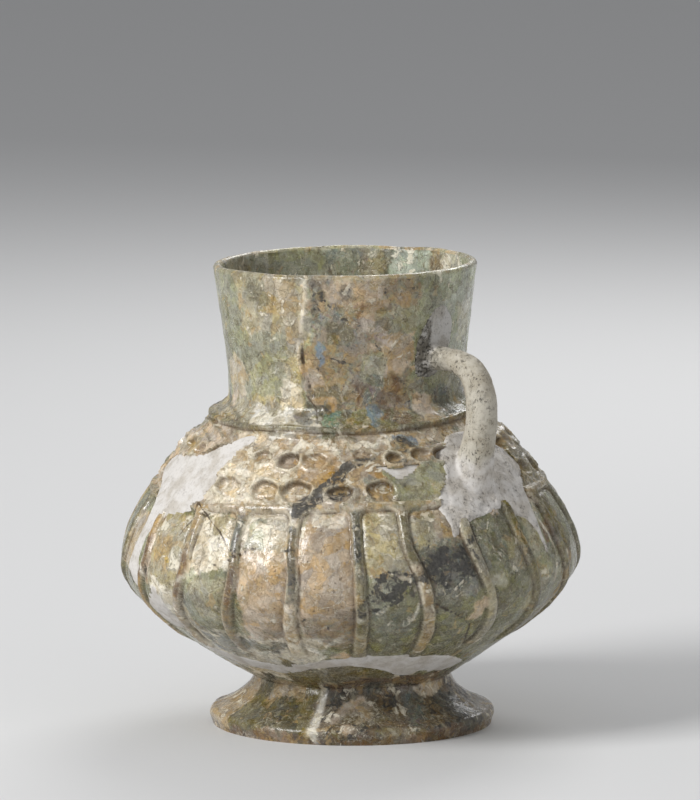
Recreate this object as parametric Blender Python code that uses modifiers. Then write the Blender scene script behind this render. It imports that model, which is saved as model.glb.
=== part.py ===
"""A squat glass vase with one handle, mended with plaster. Metres, +Z up.

The vase is one wall of blown glass: a flaring neck, a low wide bowl and a spread foot that
is hollow below. Glass trails are fused on it: a collar thread at the root of the neck, a net
of two rows of cells on the shoulder, a belt thread under the net, and upright ribs round the
bowl. Plaster fills the holes in the wall, and the handle is cast in plaster with the two
patches that carry it. The bowl and neck lean a little on the foot.

Angles go round the axis: 0 is the front, at -Y, and +90 is at +X. Places on the wall are
(angle in degrees, level). A level is a height as a share: 0 is the waist, 1 the collar and 2
the rim, so that patches follow the wall when a size changes.
"""

import math

import bmesh
import bpy
from mathutils import Matrix, Vector
from mathutils.geometry import interpolate_bezier, tessellate_polygon

# Heights of the stations of the wall
TOTAL_HEIGHT = 0.1604
NECK_ABOVE_COLLAR = 0.0117
COLLAR_HEIGHT = 0.1093
NECK_HEIGHT = COLLAR_HEIGHT + NECK_ABOVE_COLLAR
BOWL_HEIGHT = 0.0586
WAIST_HEIGHT = 0.0171

# Outer diameters at those stations
RIM_DIAMETER = 0.0902
NECK_DIAMETER = 0.0812
COLLAR_DIAMETER = 0.0924
BOWL_DIAMETER = 0.1570
WAIST_DIAMETER = 0.0676
FOOT_DIAMETER = 0.0985

# Thicknesses
WALL = 0.0022
LIP = 0.0028
FOOT_WALL = 0.0030
FOOT_EDGE = 0.0046
FOOT_REST = 0.0020
FLOOR = 0.0045

# Slopes of the wall where two spans of its outline meet, in degrees below the horizontal
RIM_SLOPE = 98
NECK_ROOT_SLOPE = 40
SHOULDER_SLOPE = 55
BOWL_ROOT_SLOPE = 32

# How far the wall keeps its direction at each end of a span
RIM_HOLD = 0.0169
NECK_HOLD = 0.0033
NECK_ROOT_HOLD = 0.0087
COLLAR_HOLD = 0.0087
SHOULDER_HOLD = 0.0148
BOWL_UPPER_HOLD = 0.0172
BOWL_LOWER_HOLD = 0.0131
BOWL_ROOT_HOLD = 0.0265

# Trails on the wall. PROUD is how far a trail stands out of it, and BELOW_COLLAR is measured
# in height, from the collar down to the middle of the trail
COLLAR_WIDTH = 0.0034
COLLAR_PROUD = 0.0014
NET_BELOW_COLLAR = 0.0148
NET_WIDTH = 0.0024
NET_PROUD = 0.0011
CELL_COUNT = 33
BELT_BELOW_COLLAR = 0.0258
BELT_WIDTH = 0.0034
BELT_PROUD = 0.0010
RIB_COUNT = 22
RIB_ANGLE = 3.0
RIB_WIDTH = 0.0046
RIB_PROUD = 0.0015
RIB_FOOT_LEVEL = 0.155

# The handle: where it leaves the neck, how far it reaches out of it and where it lands
HANDLE_ANGLE = 45.0
HANDLE_TOP_LEVEL = 1.405
HANDLE_BEND_HEIGHT = 0.1180
HANDLE_REACH = 0.0250
HANDLE_ROOT_LEVEL = 0.815
HANDLE_TOP_DIAMETER = 0.0086
HANDLE_BEND_DIAMETER = 0.0110
HANDLE_ROOT_DIAMETER = 0.0126
PATCH_PROUD = 0.0007

# Plaster keeps this far from the glass all round
CLEARANCE = 0.0003

# The bowl turns this far on the foot, towards -X, over this stretch above and below the waist
LEAN = math.radians(0.99)
LEAN_STRETCH = 0.0060

# Fineness of the round shapes
STEPS_ROUND = 44
NECK_STEPS = 2
NECK_ROOT_STEPS = 3
SHOULDER_STEPS = 5
BELLY_STEPS = 6
FOOT_STEPS = 3
HANDLE_STEPS = 7
CURVE_STEPS = 80

# Outlines of the plaster, as (angle, level)
SHOULDER_FILL = [
    (-36.0, 0.955), (-43.0, 0.895), (-46.5, 0.80), (-47.5, 0.735), (-52.0, 0.68), (-57.0, 0.665),
    (-62.0, 0.66), (-65.0, 0.64), (-66.5, 0.53), (-66.0, 0.44), (-69.0, 0.37), (-73.0, 0.40),
    (-74.0, 0.47), (-71.0, 0.56), (-70.0, 0.64), (-74.0, 0.72), (-84.0, 0.765), (-92.0, 0.80),
    (-84.0, 0.85), (-70.0, 0.86), (-60.0, 0.88), (-52.0, 0.925), (-42.0, 0.965),
]  # fmt: skip
FLANK_FILL = [
    (-57.5, 0.435), (-66.0, 0.36), (-70.5, 0.31), (-69.0, 0.25), (-62.0, 0.215), (-57.5, 0.255),
    (-56.5, 0.33),
]  # fmt: skip
BASE_FILL = [
    (-64.0, 0.165), (-50.0, 0.15), (-36.0, 0.125), (-25.0, 0.115), (-12.0, 0.145), (0.0, 0.165),
    (20.0, 0.165), (38.0, 0.14), (58.0, 0.085), (46.0, 0.055), (22.0, 0.055), (12.0, 0.095),
    (0.0, 0.12), (-14.0, 0.105), (-28.0, 0.065), (-44.0, 0.08), (-58.0, 0.115),
]  # fmt: skip
FRONT_FILL = [
    (5.5, 0.875), (16.0, 0.862), (28.0, 0.872), (24.5, 0.845), (20.0, 0.815), (15.5, 0.805),
    (12.0, 0.835),
]  # fmt: skip
NECK_PATCH = [
    (47.0, 1.775), (53.0, 1.74), (58.0, 1.65), (58.5, 1.53), (56.5, 1.42), (52.5, 1.325),
    (47.0, 1.275), (41.0, 1.265), (35.5, 1.275), (32.5, 1.35), (34.0, 1.52), (38.0, 1.66),
    (42.5, 1.74),
]  # fmt: skip
HANDLE_PATCH = [
    (38.0, 0.925), (33.5, 0.88), (31.5, 0.805), (27.5, 0.77), (26.5, 0.70), (28.5, 0.645),
    (25.0, 0.56), (29.0, 0.60), (32.0, 0.655), (35.0, 0.665), (42.0, 0.67), (47.0, 0.685),
    (49.5, 0.71), (52.0, 0.66), (55.0, 0.635), (57.5, 0.60), (58.5, 0.50), (60.0, 0.50),
    (59.8, 0.61), (60.5, 0.67), (63.5, 0.735), (69.0, 0.775), (72.0, 0.80), (70.0, 0.85),
    (64.0, 0.90), (57.0, 0.945), (50.0, 0.955), (43.0, 0.95),
]  # fmt: skip


def height_at(level):
    """The height of a level: 0 at the waist, 1 at the collar, 2 at the rim."""
    if level <= 1:
        return WAIST_HEIGHT + level * (COLLAR_HEIGHT - WAIST_HEIGHT)
    return COLLAR_HEIGHT + (level - 1) * (TOTAL_HEIGHT - COLLAR_HEIGHT)


def outward(slope, length):
    """A step this long, out and down at this many degrees below the horizontal."""
    angle = math.radians(slope)
    return Vector((math.cos(angle), -math.sin(angle))) * length


def span(start, start_handle, end_handle, end, steps):
    """Points of one Bezier span, without its last, closer together where it bends more."""
    corners = [p.to_3d() for p in (start, start_handle, end_handle, end)]
    fine = [p.to_2d() for p in interpolate_bezier(*corners, CURVE_STEPS + 1)]
    ways = [b - a for a, b in zip(fine, fine[1:])]
    length = sum(way.length for way in ways)
    done = [0.0]
    for before, way in zip([ways[0], *ways], ways):
        done.append(done[-1] + way.length / length + way.angle(before))
    marks = [done[-1] * i / steps for i in range(steps)]
    return [next(p for p, d in zip(fine, done) if d >= mark) for mark in marks]


def wall_outline():
    """The outer side of the wall, as (radius, height), from under the lip down to the waist."""
    rim = Vector((RIM_DIAMETER / 2, TOTAL_HEIGHT - LIP / 2))
    neck = Vector((NECK_DIAMETER / 2, NECK_HEIGHT))
    collar = Vector((COLLAR_DIAMETER / 2, COLLAR_HEIGHT))
    bowl = Vector((BOWL_DIAMETER / 2, BOWL_HEIGHT))
    waist = Vector((WAIST_DIAMETER / 2, WAIST_HEIGHT))
    rim_handle = rim + outward(RIM_SLOPE, RIM_HOLD)
    neck_upper = neck - outward(90, NECK_HOLD)
    neck_lower = neck + outward(90, NECK_ROOT_HOLD)
    collar_upper = collar - outward(NECK_ROOT_SLOPE, COLLAR_HOLD)
    collar_lower = collar + outward(SHOULDER_SLOPE, SHOULDER_HOLD)
    bowl_upper = bowl - outward(90, BOWL_UPPER_HOLD)
    bowl_lower = bowl + outward(90, BOWL_LOWER_HOLD)
    waist_handle = waist + outward(-BOWL_ROOT_SLOPE, BOWL_ROOT_HOLD)
    return [
        *span(rim, rim_handle, neck_upper, neck, NECK_STEPS),
        *span(neck, neck_lower, collar_upper, collar, NECK_ROOT_STEPS),
        *span(collar, collar_lower, bowl_upper, bowl, SHOULDER_STEPS),
        *span(bowl, bowl_lower, waist_handle, waist, BELLY_STEPS),
        waist,
    ]


def foot_outline():
    """The outer side of the foot below the waist, down to the outer edge of what it rests on."""
    roll = FOOT_EDGE * 0.6
    waist = Vector((WAIST_DIAMETER / 2, WAIST_HEIGHT))
    edge = Vector((FOOT_DIAMETER / 2 - roll, FOOT_EDGE * 1.35))
    reach, drop = edge - waist
    waist_handle = waist + Vector((reach * 0.12, drop * 0.45))
    edge_handle = edge - Vector((reach * 0.45, drop * 0.22))
    turns = [math.radians(degrees) for degrees in (0, 50, 95)]
    return [
        *span(waist, waist_handle, edge_handle, edge, FOOT_STEPS)[1:],
        *[edge + Vector((math.sin(turn), math.cos(turn) - 1)) * roll for turn in turns],
        Vector((FOOT_DIAMETER / 2 - FOOT_EDGE / 4, 0)),
    ]


def normals(outline):
    """The outward normal at each point of an outline that runs downward."""
    made = []
    for i in range(len(outline)):
        way = outline[min(i + 1, len(outline) - 1)] - outline[max(i - 1, 0)]
        made.append(Vector((-way.y, way.x)).normalized())
    return made


def moved_out(outline, distance):
    """The outline moved along its normals: outward, or inward where the distance is below 0."""
    return [p + n * distance for p, n in zip(outline, normals(outline))]


WALL_LINE = wall_outline()


def on_wall(height, out=0.0):
    """(radius, height) on the wall at this height, moved out along the normal."""
    for above, below in zip(WALL_LINE, WALL_LINE[1:]):
        if below.y <= height <= above.y:
            share = (above.y - height) / (above.y - below.y)
            way = below - above
            return above.lerp(below, share) + Vector((-way.y, way.x)).normalized() * out
    raise ValueError(f"no wall at height {height}")


def around(angle, radius, height):
    """The point at this angle in degrees, radius and height."""
    turn = math.radians(angle)
    return Vector((radius * math.sin(turn), -radius * math.cos(turn), height))


def cell_pitch(height):
    """How far apart the middles of the cells lie at this height, along the wall."""
    return 2 * math.pi * on_wall(height).x / CELL_COUNT


def cell_rows():
    """The height of each row of cells and the distance across the flats of its cells."""
    middle = COLLAR_HEIGHT - NET_BELOW_COLLAR
    rows = []
    for side in (0.5, -0.5):
        start = on_wall(middle)
        drop = math.sqrt(3) / 2 * cell_pitch(middle)
        slope = (on_wall(middle + NET_WIDTH) - start).normalized()
        height = middle + slope.y * drop * side
        rows.append((height, cell_pitch(height) - NET_WIDTH))
    return rows


def net_edges():
    """The upper and lower height of the net: its rows with a thread's width beyond them."""
    (upper, upper_width), (lower, lower_width) = cell_rows()
    slope = (on_wall(upper) - on_wall(lower)).normalized().y
    reach = NET_WIDTH * 0.6
    top = upper + slope * (upper_width / math.sqrt(3) + reach)
    bottom = lower - slope * (lower_width / math.sqrt(3) + reach)
    return top, bottom


def raised(outline, top, crest, bottom, proud):
    """The outline with a trail from top to bottom that is this proud at the crest heights."""
    above = [p for p in outline if p.y > top]
    below = [p for p in outline if p.y < bottom]
    trail = [on_wall(top), *[on_wall(height, proud) for height in crest], on_wall(bottom)]
    return [*above, *trail, *below]


def outline_with_trails():
    """The outer side of the wall with the threads and the band of the net on it."""
    outline = WALL_LINE
    belt = COLLAR_HEIGHT - BELT_BELOW_COLLAR
    for middle, width, proud in (
        (COLLAR_HEIGHT, COLLAR_WIDTH, COLLAR_PROUD),
        (belt, BELT_WIDTH, BELT_PROUD),
    ):
        outline = raised(outline, middle + width / 2, [middle], middle - width / 2, proud)
    top, bottom = net_edges()
    edge = NET_PROUD * 0.6
    bends = [p.y for p in WALL_LINE if bottom + edge * 2 < p.y < top - edge * 2]
    return raised(outline, top, [top - edge, *bends, bottom + edge], bottom, NET_PROUD)


def section(outer):
    """The closed half section of the glass, from the floor's centre round to the hollow's."""
    foot = foot_outline()
    floor_height = WAIST_HEIGHT + FLOOR
    lowest, highest = floor_height + WALL, NECK_HEIGHT + WALL
    inner = [p for p in moved_out(WALL_LINE, -WALL) if lowest < p.y < highest]
    inside = [
        Vector((0, floor_height)),
        Vector((inner[-1].x * 0.62, floor_height + WALL * 0.35)),
        *inner[::-1],
        Vector((RIM_DIAMETER / 2 - LIP, TOTAL_HEIGHT - LIP / 2)),
        Vector((RIM_DIAMETER / 2 - LIP * 0.72, TOTAL_HEIGHT)),
        Vector((RIM_DIAMETER / 2 - LIP * 0.28, TOTAL_HEIGHT)),
    ]
    ceiling = WAIST_HEIGHT - FOOT_WALL * 0.3
    hollow = [p for p in moved_out(foot, -FOOT_WALL)[:FOOT_STEPS] if p.y < ceiling - WALL]
    hollow = [
        Vector((foot[-1].x - FOOT_REST, 0)),
        *hollow[::-1],
        Vector((hollow[0].x * 0.80, ceiling - FOOT_WALL * 0.4)),
        Vector((0, ceiling)),
    ]
    return [*inside, *outer, *foot, *hollow]


def clear_scene():
    for obj in list(bpy.data.objects):
        bpy.data.objects.remove(obj)


def collection(name, hidden=False):
    made = bpy.data.collections.new(name)
    bpy.context.scene.collection.children.link(made)
    made.hide_render = hidden
    return made


def material(name, colour, roughness, transmission=0.0):
    made = bpy.data.materials.new(name)
    made.use_nodes = True
    shader = made.node_tree.nodes["Principled BSDF"]
    shader.inputs["Base Color"].default_value = (*colour, 1)
    shader.inputs["Roughness"].default_value = roughness
    shader.inputs["Metallic"].default_value = 0.0
    shader.inputs["Transmission Weight"].default_value = transmission
    made.diffuse_color = (*colour, 1)
    return made


def object_of(mesh, name, group):
    obj = bpy.data.objects.new(name, mesh)
    group.objects.link(obj)
    return obj


def evaluated_mesh(obj):
    bpy.context.view_layer.update()
    graph = bpy.context.evaluated_depsgraph_get()
    return bpy.data.meshes.new_from_object(obj.evaluated_get(graph))


def applied(obj):
    """The object with the mesh that its modifiers make in place of the modifiers."""
    mesh = evaluated_mesh(obj)
    obj.modifiers.clear()
    obj.data = mesh
    return obj


def cleaned(mesh, weld=0.0):
    """The mesh with its faces pointing out and, where weld is above 0, close points joined."""
    work = bmesh.new()
    work.from_mesh(mesh)
    if weld:
        bmesh.ops.remove_doubles(work, verts=work.verts, dist=weld)
    bmesh.ops.recalc_face_normals(work, faces=work.faces)
    work.to_mesh(mesh)
    work.free()
    return mesh


def combine(target, tool, operation):
    """Joins, cuts or keeps the target where the tool is, then removes the tool."""
    boolean = target.modifiers.new(operation.lower(), "BOOLEAN")
    boolean.operation = operation
    boolean.solver = "EXACT"
    boolean.object = tool
    applied(target)
    bpy.data.objects.remove(tool)
    return target


def turned(name, outline, group):
    """A solid of revolution from a half section that starts and ends on the axis."""
    mesh = bpy.data.meshes.new(name)
    points = [around(RIB_ANGLE, *p) for p in outline]
    mesh.from_pydata(points, [(i, i + 1) for i in range(len(points) - 1)], [])
    obj = object_of(mesh, name, group)
    screw = obj.modifiers.new("turn", "SCREW")
    screw.steps = screw.render_steps = STEPS_ROUND
    screw.use_merge_vertices = True
    screw.merge_threshold = 0.00005
    return applied(obj)


def tube(name, points, radii, group, resolution):
    """A tube along points, as a mesh. It has 4 sides, and 2 more for each step of resolution."""
    curve = bpy.data.curves.new(name, "CURVE")
    curve.dimensions = "3D"
    curve.bevel_depth = 1.0
    curve.bevel_resolution = resolution
    curve.use_fill_caps = True
    spline = curve.splines.new("POLY")
    spline.points.add(len(points) - 1)
    for knot, point, radius in zip(spline.points, points, radii):
        knot.co = (*point, 1)
        knot.radius = radius
    obj = object_of(curve, name + "_curve", group)
    made = object_of(cleaned(evaluated_mesh(obj), weld=0.000001), name, group)
    made.matrix_world = obj.matrix_world
    bpy.data.objects.remove(obj)
    return made


def rib(index, group):
    """One upright rib: a flat fin in the wall, from inside the belt down to where it sinks in."""
    top = COLLAR_HEIGHT - BELT_BELOW_COLLAR
    foot = height_at(RIB_FOOT_LEVEL)
    bends = [p.y for p in WALL_LINE if foot + RIB_WIDTH < p.y < top - RIB_WIDTH]
    crest = [*[on_wall(height, RIB_PROUD) for height in (top, *bends)], on_wall(foot, -WALL / 4)]
    root = [on_wall(height, -WALL / 2) for height in (top, *bends, foot)]
    angle = RIB_ANGLE + index * 360 / RIB_COUNT
    corners = [around(angle, *p) for p in (*crest, *reversed(root))]
    mesh = bpy.data.meshes.new(f"rib_{index}")
    mesh.from_pydata(corners, [], [range(len(corners))])
    fin = object_of(mesh, f"rib_{index}", group)
    thickness = fin.modifiers.new("thickness", "SOLIDIFY")
    thickness.thickness = RIB_WIDTH
    thickness.offset = 0
    edge = fin.modifiers.new("edge", "BEVEL")
    edge.width = RIB_PROUD * 0.6
    edge.segments = 1
    edge.limit_method = "ANGLE"
    edge.angle_limit = math.radians(60)
    return applied(fin)


def net_cells(row, height, width, group):
    """The cells of one row of the net: six slanted sides each, cut down to the wall."""
    work = bmesh.new()
    slope = on_wall(height + NET_WIDTH) - on_wall(height - NET_WIDTH)
    tilt = math.atan2(slope.y, -slope.x)
    depth = NET_PROUD * 1.4
    for cell in range(CELL_COUNT):
        angle = (cell + row / 2) * 360 / CELL_COUNT
        middle = around(angle, *on_wall(height, depth / 2))
        stand = Matrix.Rotation(math.radians(angle), 4, "Z") @ Matrix.Rotation(tilt, 4, "X")
        bmesh.ops.create_cone(
            work,
            cap_ends=True,
            segments=6,
            radius1=width / math.sqrt(3) - NET_WIDTH / 4,
            radius2=width / math.sqrt(3) + NET_WIDTH / 4,
            depth=depth,
            matrix=Matrix.Translation(middle) @ stand,
        )
    mesh = bpy.data.meshes.new(f"cells_{row}")
    work.to_mesh(mesh)
    work.free()
    return object_of(mesh, f"cells_{row}", group)


def flat_outline(outline, facing):
    """The outline as seen from the side at this angle, as (across, height) in metres."""
    flat = []
    for angle, level in outline:
        height = height_at(level)
        across = on_wall(height).x * math.sin(math.radians(angle - facing))
        flat.append(Vector((across, height)))
    return flat


def grown(outline, distance):
    """The closed outline with each side moved outward."""
    area = sum(a.cross(b) for a, b in zip(outline, outline[1:] + outline[:1]))
    outside = math.copysign(1, area)
    made = []
    for i, point in enumerate(outline):
        before = (point - outline[i - 1]).normalized()
        after = (outline[(i + 1) % len(outline)] - point).normalized()
        sides = [Vector((way.y, -way.x)) * outside for way in (before, after)]
        middle = (sides[0] + sides[1]).normalized()
        made.append(point + middle * distance / max(middle.dot(sides[0]), 0.5))
    return made


def prism(name, outline, facing, group):
    """A bar with this outline that leaves the middle of the vase in the facing direction."""
    across = around(facing + 90, 1, 0)
    start = around(facing, WAIST_DIAMETER / 8, 0)
    reach = around(facing, BOWL_DIAMETER, 0)
    corners = [start + across * p.x + Vector((0, 0, p.y)) for p in outline]
    count = len(corners)
    near = [tuple(t) for t in tessellate_polygon([[p.to_3d() for p in outline]])]
    far = [tuple(i + count for i in reversed(t)) for t in near]
    sides = [(i, (i + 1) % count, (i + 1) % count + count, i + count) for i in range(count)]
    mesh = bpy.data.meshes.new(name)
    mesh.from_pydata([*corners, *[c + reach for c in corners]], [], [*near, *far, *sides])
    return object_of(cleaned(mesh), name, group)


def plaster_in_wall(name, outline, facing, group, tools, proud=0.0):
    """A piece of plaster in the thickness of the wall, with the outline as its edge."""
    outer = [WALL_LINE[0], *moved_out(WALL_LINE, proud)[1:-1], WALL_LINE[-1]]
    piece = turned(name, section(outer), group)
    flat = flat_outline(outline, facing)
    return combine(piece, prism(name + "_keep", flat, facing, tools), "INTERSECT")


def cut_for(target, name, outline, facing, tools):
    """Cuts the hole for a piece of plaster, with the clearance round it."""
    flat = grown(flat_outline(outline, facing), CLEARANCE)
    return combine(target, prism(name + "_cut", flat, facing, tools), "DIFFERENCE")


def handle_rod(group, tools):
    """The handle: out from the neck, down in a bend and onto the shoulder, cut off in the wall."""
    start = on_wall(height_at(HANDLE_TOP_LEVEL), -WALL)
    end = on_wall(height_at(HANDLE_ROOT_LEVEL))
    bend = Vector((start.x + HANDLE_REACH, HANDLE_BEND_HEIGHT))
    rise = Vector((0, start.y - bend.y))
    fall = Vector((0, bend.y - end.y))
    out = Vector((HANDLE_REACH, 0))
    upper = span(start, start + out * 0.72, bend + rise * 0.85, bend, HANDLE_STEPS)
    lower = span(bend, bend - fall * 0.35, end + fall * 0.35, end, HANDLE_STEPS)
    line = [*upper, *lower, end, end - Vector((0, HANDLE_ROOT_DIAMETER))]
    widths = []
    for first, last in (
        (HANDLE_TOP_DIAMETER, HANDLE_BEND_DIAMETER),
        (HANDLE_BEND_DIAMETER, HANDLE_ROOT_DIAMETER),
    ):
        widths += [first + (last - first) * i / HANDLE_STEPS for i in range(HANDLE_STEPS)]
    widths += [HANDLE_ROOT_DIAMETER] * 2
    points = [around(HANDLE_ANGLE, *p) for p in line]
    rod = tube("plaster_handle", points, [width / 2 for width in widths], group, resolution=3)
    middle = moved_out(WALL_LINE, -WALL / 2)
    core = turned("core", [Vector((0, TOTAL_HEIGHT)), *middle, Vector((0, WAIST_HEIGHT))], tools)
    return combine(rod, core, "DIFFERENCE")


def lean(obj):
    """Turns what is above the waist on the foot, and sets the bowl over the origin."""
    shift = Vector((math.sin(LEAN) * (BOWL_HEIGHT - WAIST_HEIGHT), 0, 0))
    pivot = Vector((0, 0, WAIST_HEIGHT))
    for vertex in obj.data.vertices:
        rise = (vertex.co.z - WAIST_HEIGHT + LEAN_STRETCH) / (2 * LEAN_STRETCH)
        rise = min(max(rise, 0), 1)
        share = rise * rise * (3 - 2 * rise)
        turn = Matrix.Rotation(-LEAN * share, 3, "Y")
        vertex.co = turn @ (vertex.co - pivot) + pivot + shift


def finish(obj, name, coat):
    """Names the piece, leans it and gives it its material."""
    obj.name = name
    obj.data.name = name
    lean(obj)
    obj.data.materials.clear()
    obj.data.materials.append(coat)
    obj.data.shade_smooth()
    obj.data.set_sharp_from_angle(angle=math.radians(40))


# Each plaster piece of the wall: its name, its outline and the side that its bar leaves by
FILLS = {
    "plaster_fill_shoulder": (SHOULDER_FILL, -62.0),
    "plaster_fill_flank": (FLANK_FILL, -62.0),
    "plaster_fill_base": (BASE_FILL, -3.0),
    "plaster_fill_front": (FRONT_FILL, 17.0),
}


def build():
    clear_scene()
    parts = collection("glass_vase")
    tools = collection("cutters", hidden=True)
    glass = material("weathered_glass", (0.55, 0.56, 0.44), 0.35, transmission=0.3)
    plaster = material("plaster", (0.76, 0.74, 0.70), 0.85)

    vessel = turned("glass_vessel", section(outline_with_trails()), parts)
    for row, (height, width) in enumerate(cell_rows()):
        combine(vessel, net_cells(row, height, width, tools), "DIFFERENCE")
    for index in range(RIB_COUNT):
        combine(vessel, rib(index, tools), "UNION")

    for name, (outline, facing) in FILLS.items():
        cut_for(vessel, name, outline, facing, tools)
        fill = plaster_in_wall(name, outline, facing, parts, tools)
        finish(fill, name, plaster)

    handle = handle_rod(parts, tools)
    for name, outline in (("neck_patch", NECK_PATCH), ("handle_patch", HANDLE_PATCH)):
        cut_for(vessel, name, outline, HANDLE_ANGLE, tools)
        patch = plaster_in_wall(name, outline, HANDLE_ANGLE, tools, tools, PATCH_PROUD)
        combine(handle, patch, "UNION")
    finish(handle, "plaster_handle", plaster)
    finish(vessel, "glass_vessel", glass)


build()
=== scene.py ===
"""Looks of a squat glass vase with one handle, mended with plaster.

A place on the wall is (angle, height): the angle goes round the axis in degrees, 0 at the
front and +90 at the right, and the height is taken on the upright wall, before the lean.
Lengths are millimetres; only the meshes are in metres. The wall is one closed shell of glass,
made as four pieces that meet under its threads, so that each stays a handy size.
"""

import math
from functools import cache

import bpy
import numpy as np
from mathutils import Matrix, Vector


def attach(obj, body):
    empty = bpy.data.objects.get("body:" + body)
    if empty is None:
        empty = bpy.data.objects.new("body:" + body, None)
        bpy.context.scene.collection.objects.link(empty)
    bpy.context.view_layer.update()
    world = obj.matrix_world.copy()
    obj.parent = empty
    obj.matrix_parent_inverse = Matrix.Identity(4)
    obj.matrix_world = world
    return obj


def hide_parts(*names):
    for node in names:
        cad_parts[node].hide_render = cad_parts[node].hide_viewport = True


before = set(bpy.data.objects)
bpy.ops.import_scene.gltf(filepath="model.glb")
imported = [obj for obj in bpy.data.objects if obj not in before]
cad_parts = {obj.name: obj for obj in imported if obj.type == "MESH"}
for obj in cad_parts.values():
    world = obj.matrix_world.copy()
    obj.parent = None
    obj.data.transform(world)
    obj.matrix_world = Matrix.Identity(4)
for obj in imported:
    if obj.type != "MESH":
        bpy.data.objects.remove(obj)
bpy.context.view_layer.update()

MM = 0.001

# Stations of the wall, as (radius, height), and how the line runs through them
RIM = np.array((45.1, 159.0))
NECK = np.array((40.6, 121.0))
COLLAR = np.array((46.2, 109.3))
BOWL = np.array((78.5, 58.6))
WAIST = np.array((33.8, 17.1))
RIM_HEIGHT = 160.4
LIP = 2.8
WALL = 2.2
LEAN = math.radians(0.99)
LEAN_STRETCH = 6.0
LEAN_SHIFT = math.sin(LEAN) * (BOWL[1] - WAIST[1])
LIP_REACH = 12.0

# The rim is worn down unevenly, from this height up
RIM_WEAR_START = 146.0
RIM_WEAR_REACH = 14.0
RIM_WEAR_RADIUS = 44.0

# Heights where one piece of the wall ends and the next one starts
COLLAR_CUT = 107.0
BELT_CUT = 81.6
LOWEST_MATCHED = 22.4

# The foot
FOOT_RADIUS = 49.25
FOOT_EDGE = 4.6
FOOT_REST = 2.0
FOOT_REST_RADIUS = FOOT_RADIUS - FOOT_EDGE / 4
FOOT_HOLLOW = [
    (FOOT_REST_RADIUS - FOOT_REST, 0.0), (FOOT_RADIUS - FOOT_EDGE + 0.4, 3.3), (39.5, 6.6), (36.0, 9.2),
    (33.5, 11.4), (30.5, 13.6), (27.2, 15.0), (21.0, 15.7), (14.0, 16.0), (7.0, 16.1),
]  # fmt: skip
FOOT_HOLLOW_TOP = 16.2
FOOT_SEAM = 0.01

# The floor inside the bowl, and how far out its rings lie as shares of the lowest inner ring
FLOOR_HEIGHT = 21.6
FLOOR_SHARES = (0.92, 0.8, 0.62, 0.4, 0.2)

# Heights whose paint the bowl's floor and the foot's hollow take
FLOOR_PAINT_HEIGHT = 24.0
HOLLOW_PAINT_HEIGHT = 8.0

# Trails on the wall
RIB_COUNT = 22
RIB_ANGLE = 3.0
RIB_PITCH = 360 / RIB_COUNT
RIB_HALF = 1.85
RIB_HEIGHT = 1.36
PANEL_CORNER = 3.2
CELL_COUNT = 33
NET_TOP = 102.5
NET_BOTTOM = 86.5
NET_FLOOR = -0.95
PANEL_TOP = 85.3
PANEL_BLEND = 1.5
NECK_FOOT = 112.0

# Fineness: columns round the axis and distances between rows
NECK_COLUMNS, NECK_STEP = 560, 0.55
SHOULDER_COLUMNS, SHOULDER_STEP = 760, 0.45
BOWL_COLUMNS, BOWL_STEP, BOWL_FINE_STRETCH = 880, 1.1, 8.8
FOOT_COLUMNS, FOOT_STEP = 480, 0.6
PLASTER_STEP = 0.42
PAD_STEP = 0.5
ROD_RINGS, ROD_SIDES = 90, 40
ROD_VOXEL, ROD_QUICK_VOXEL = 0.42, 0.6

# How far the plaster stands out of the wall line, and how deep the rod goes into the wall
FILL_PROUD = 0.28
NECK_PAD_PROUD = 0.35
SHOULDER_PAD_PROUD = 0.75
ROD_DEPTH = 1.4

# The view, and the lights as (name, place, size, power)
CAMERA_LENS = 347.0
CAMERA_SENSOR = 36.0
CAMERA_ELEVATION = math.radians(8.1)
CAMERA_TARGET = Vector((0, 0, 0.079))
CAMERA_DISTANCE = 2.654
CAMERA_RISE = 0.0324
LIGHT_TARGET = Vector((0, 0, 0.08))
LIGHTS = [
    ("key", (-1.0, -0.72, 0.95), 0.6, 21.0),
    ("fill", (1.1, -0.9, 0.5), 0.9, 2.6),
    ("back", (0.3, 1.0, 0.9), 0.7, 8.0),
]
WORLD_COLOUR = (0.80, 0.81, 0.83, 1)
WORLD_STRENGTH = 0.40
FLOOR_COLOUR = (0.62, 0.62, 0.62, 1)
FLOOR_ROUGHNESS = 0.9
FLOOR_REACH = 6.0


def outward(slope, length):
    """A step this long, out and down at this many degrees below the horizontal."""
    angle = math.radians(slope)
    return np.array((math.cos(angle), -math.sin(angle))) * length


def bezier(a, b, c, d, count=160):
    t = np.linspace(0, 1, count)[:, None]
    return (1 - t) ** 3 * a + 3 * (1 - t) ** 2 * t * b + 3 * (1 - t) * t**2 * c + t**3 * d


class Line:
    """A line of the vase's section, by distance along it, with its outward normal."""

    def __init__(self, points):
        way = np.gradient(points, axis=0)
        way /= np.linalg.norm(way, axis=1)[:, None]
        self.radius, self.height = points.T
        self.normal_out, self.normal_up = -way[:, 1], way[:, 0]
        steps = np.linalg.norm(np.diff(points, axis=0), axis=1)
        self.along = np.concatenate([[0], np.cumsum(steps)])
        self.length = self.along[-1]

    def at(self, along, out=0.0):
        """(radius, height) at this distance along the line, moved out along the normal."""
        r = np.interp(along, self.along, self.radius)
        z = np.interp(along, self.along, self.height)
        r = r + np.interp(along, self.along, self.normal_out) * out
        z = z + np.interp(along, self.along, self.normal_up) * out
        return r, z

    def along_at(self, height):
        """The distance along a line that runs downward, at this height."""
        return np.interp(-np.asarray(height, float), -self.height, self.along)


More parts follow.
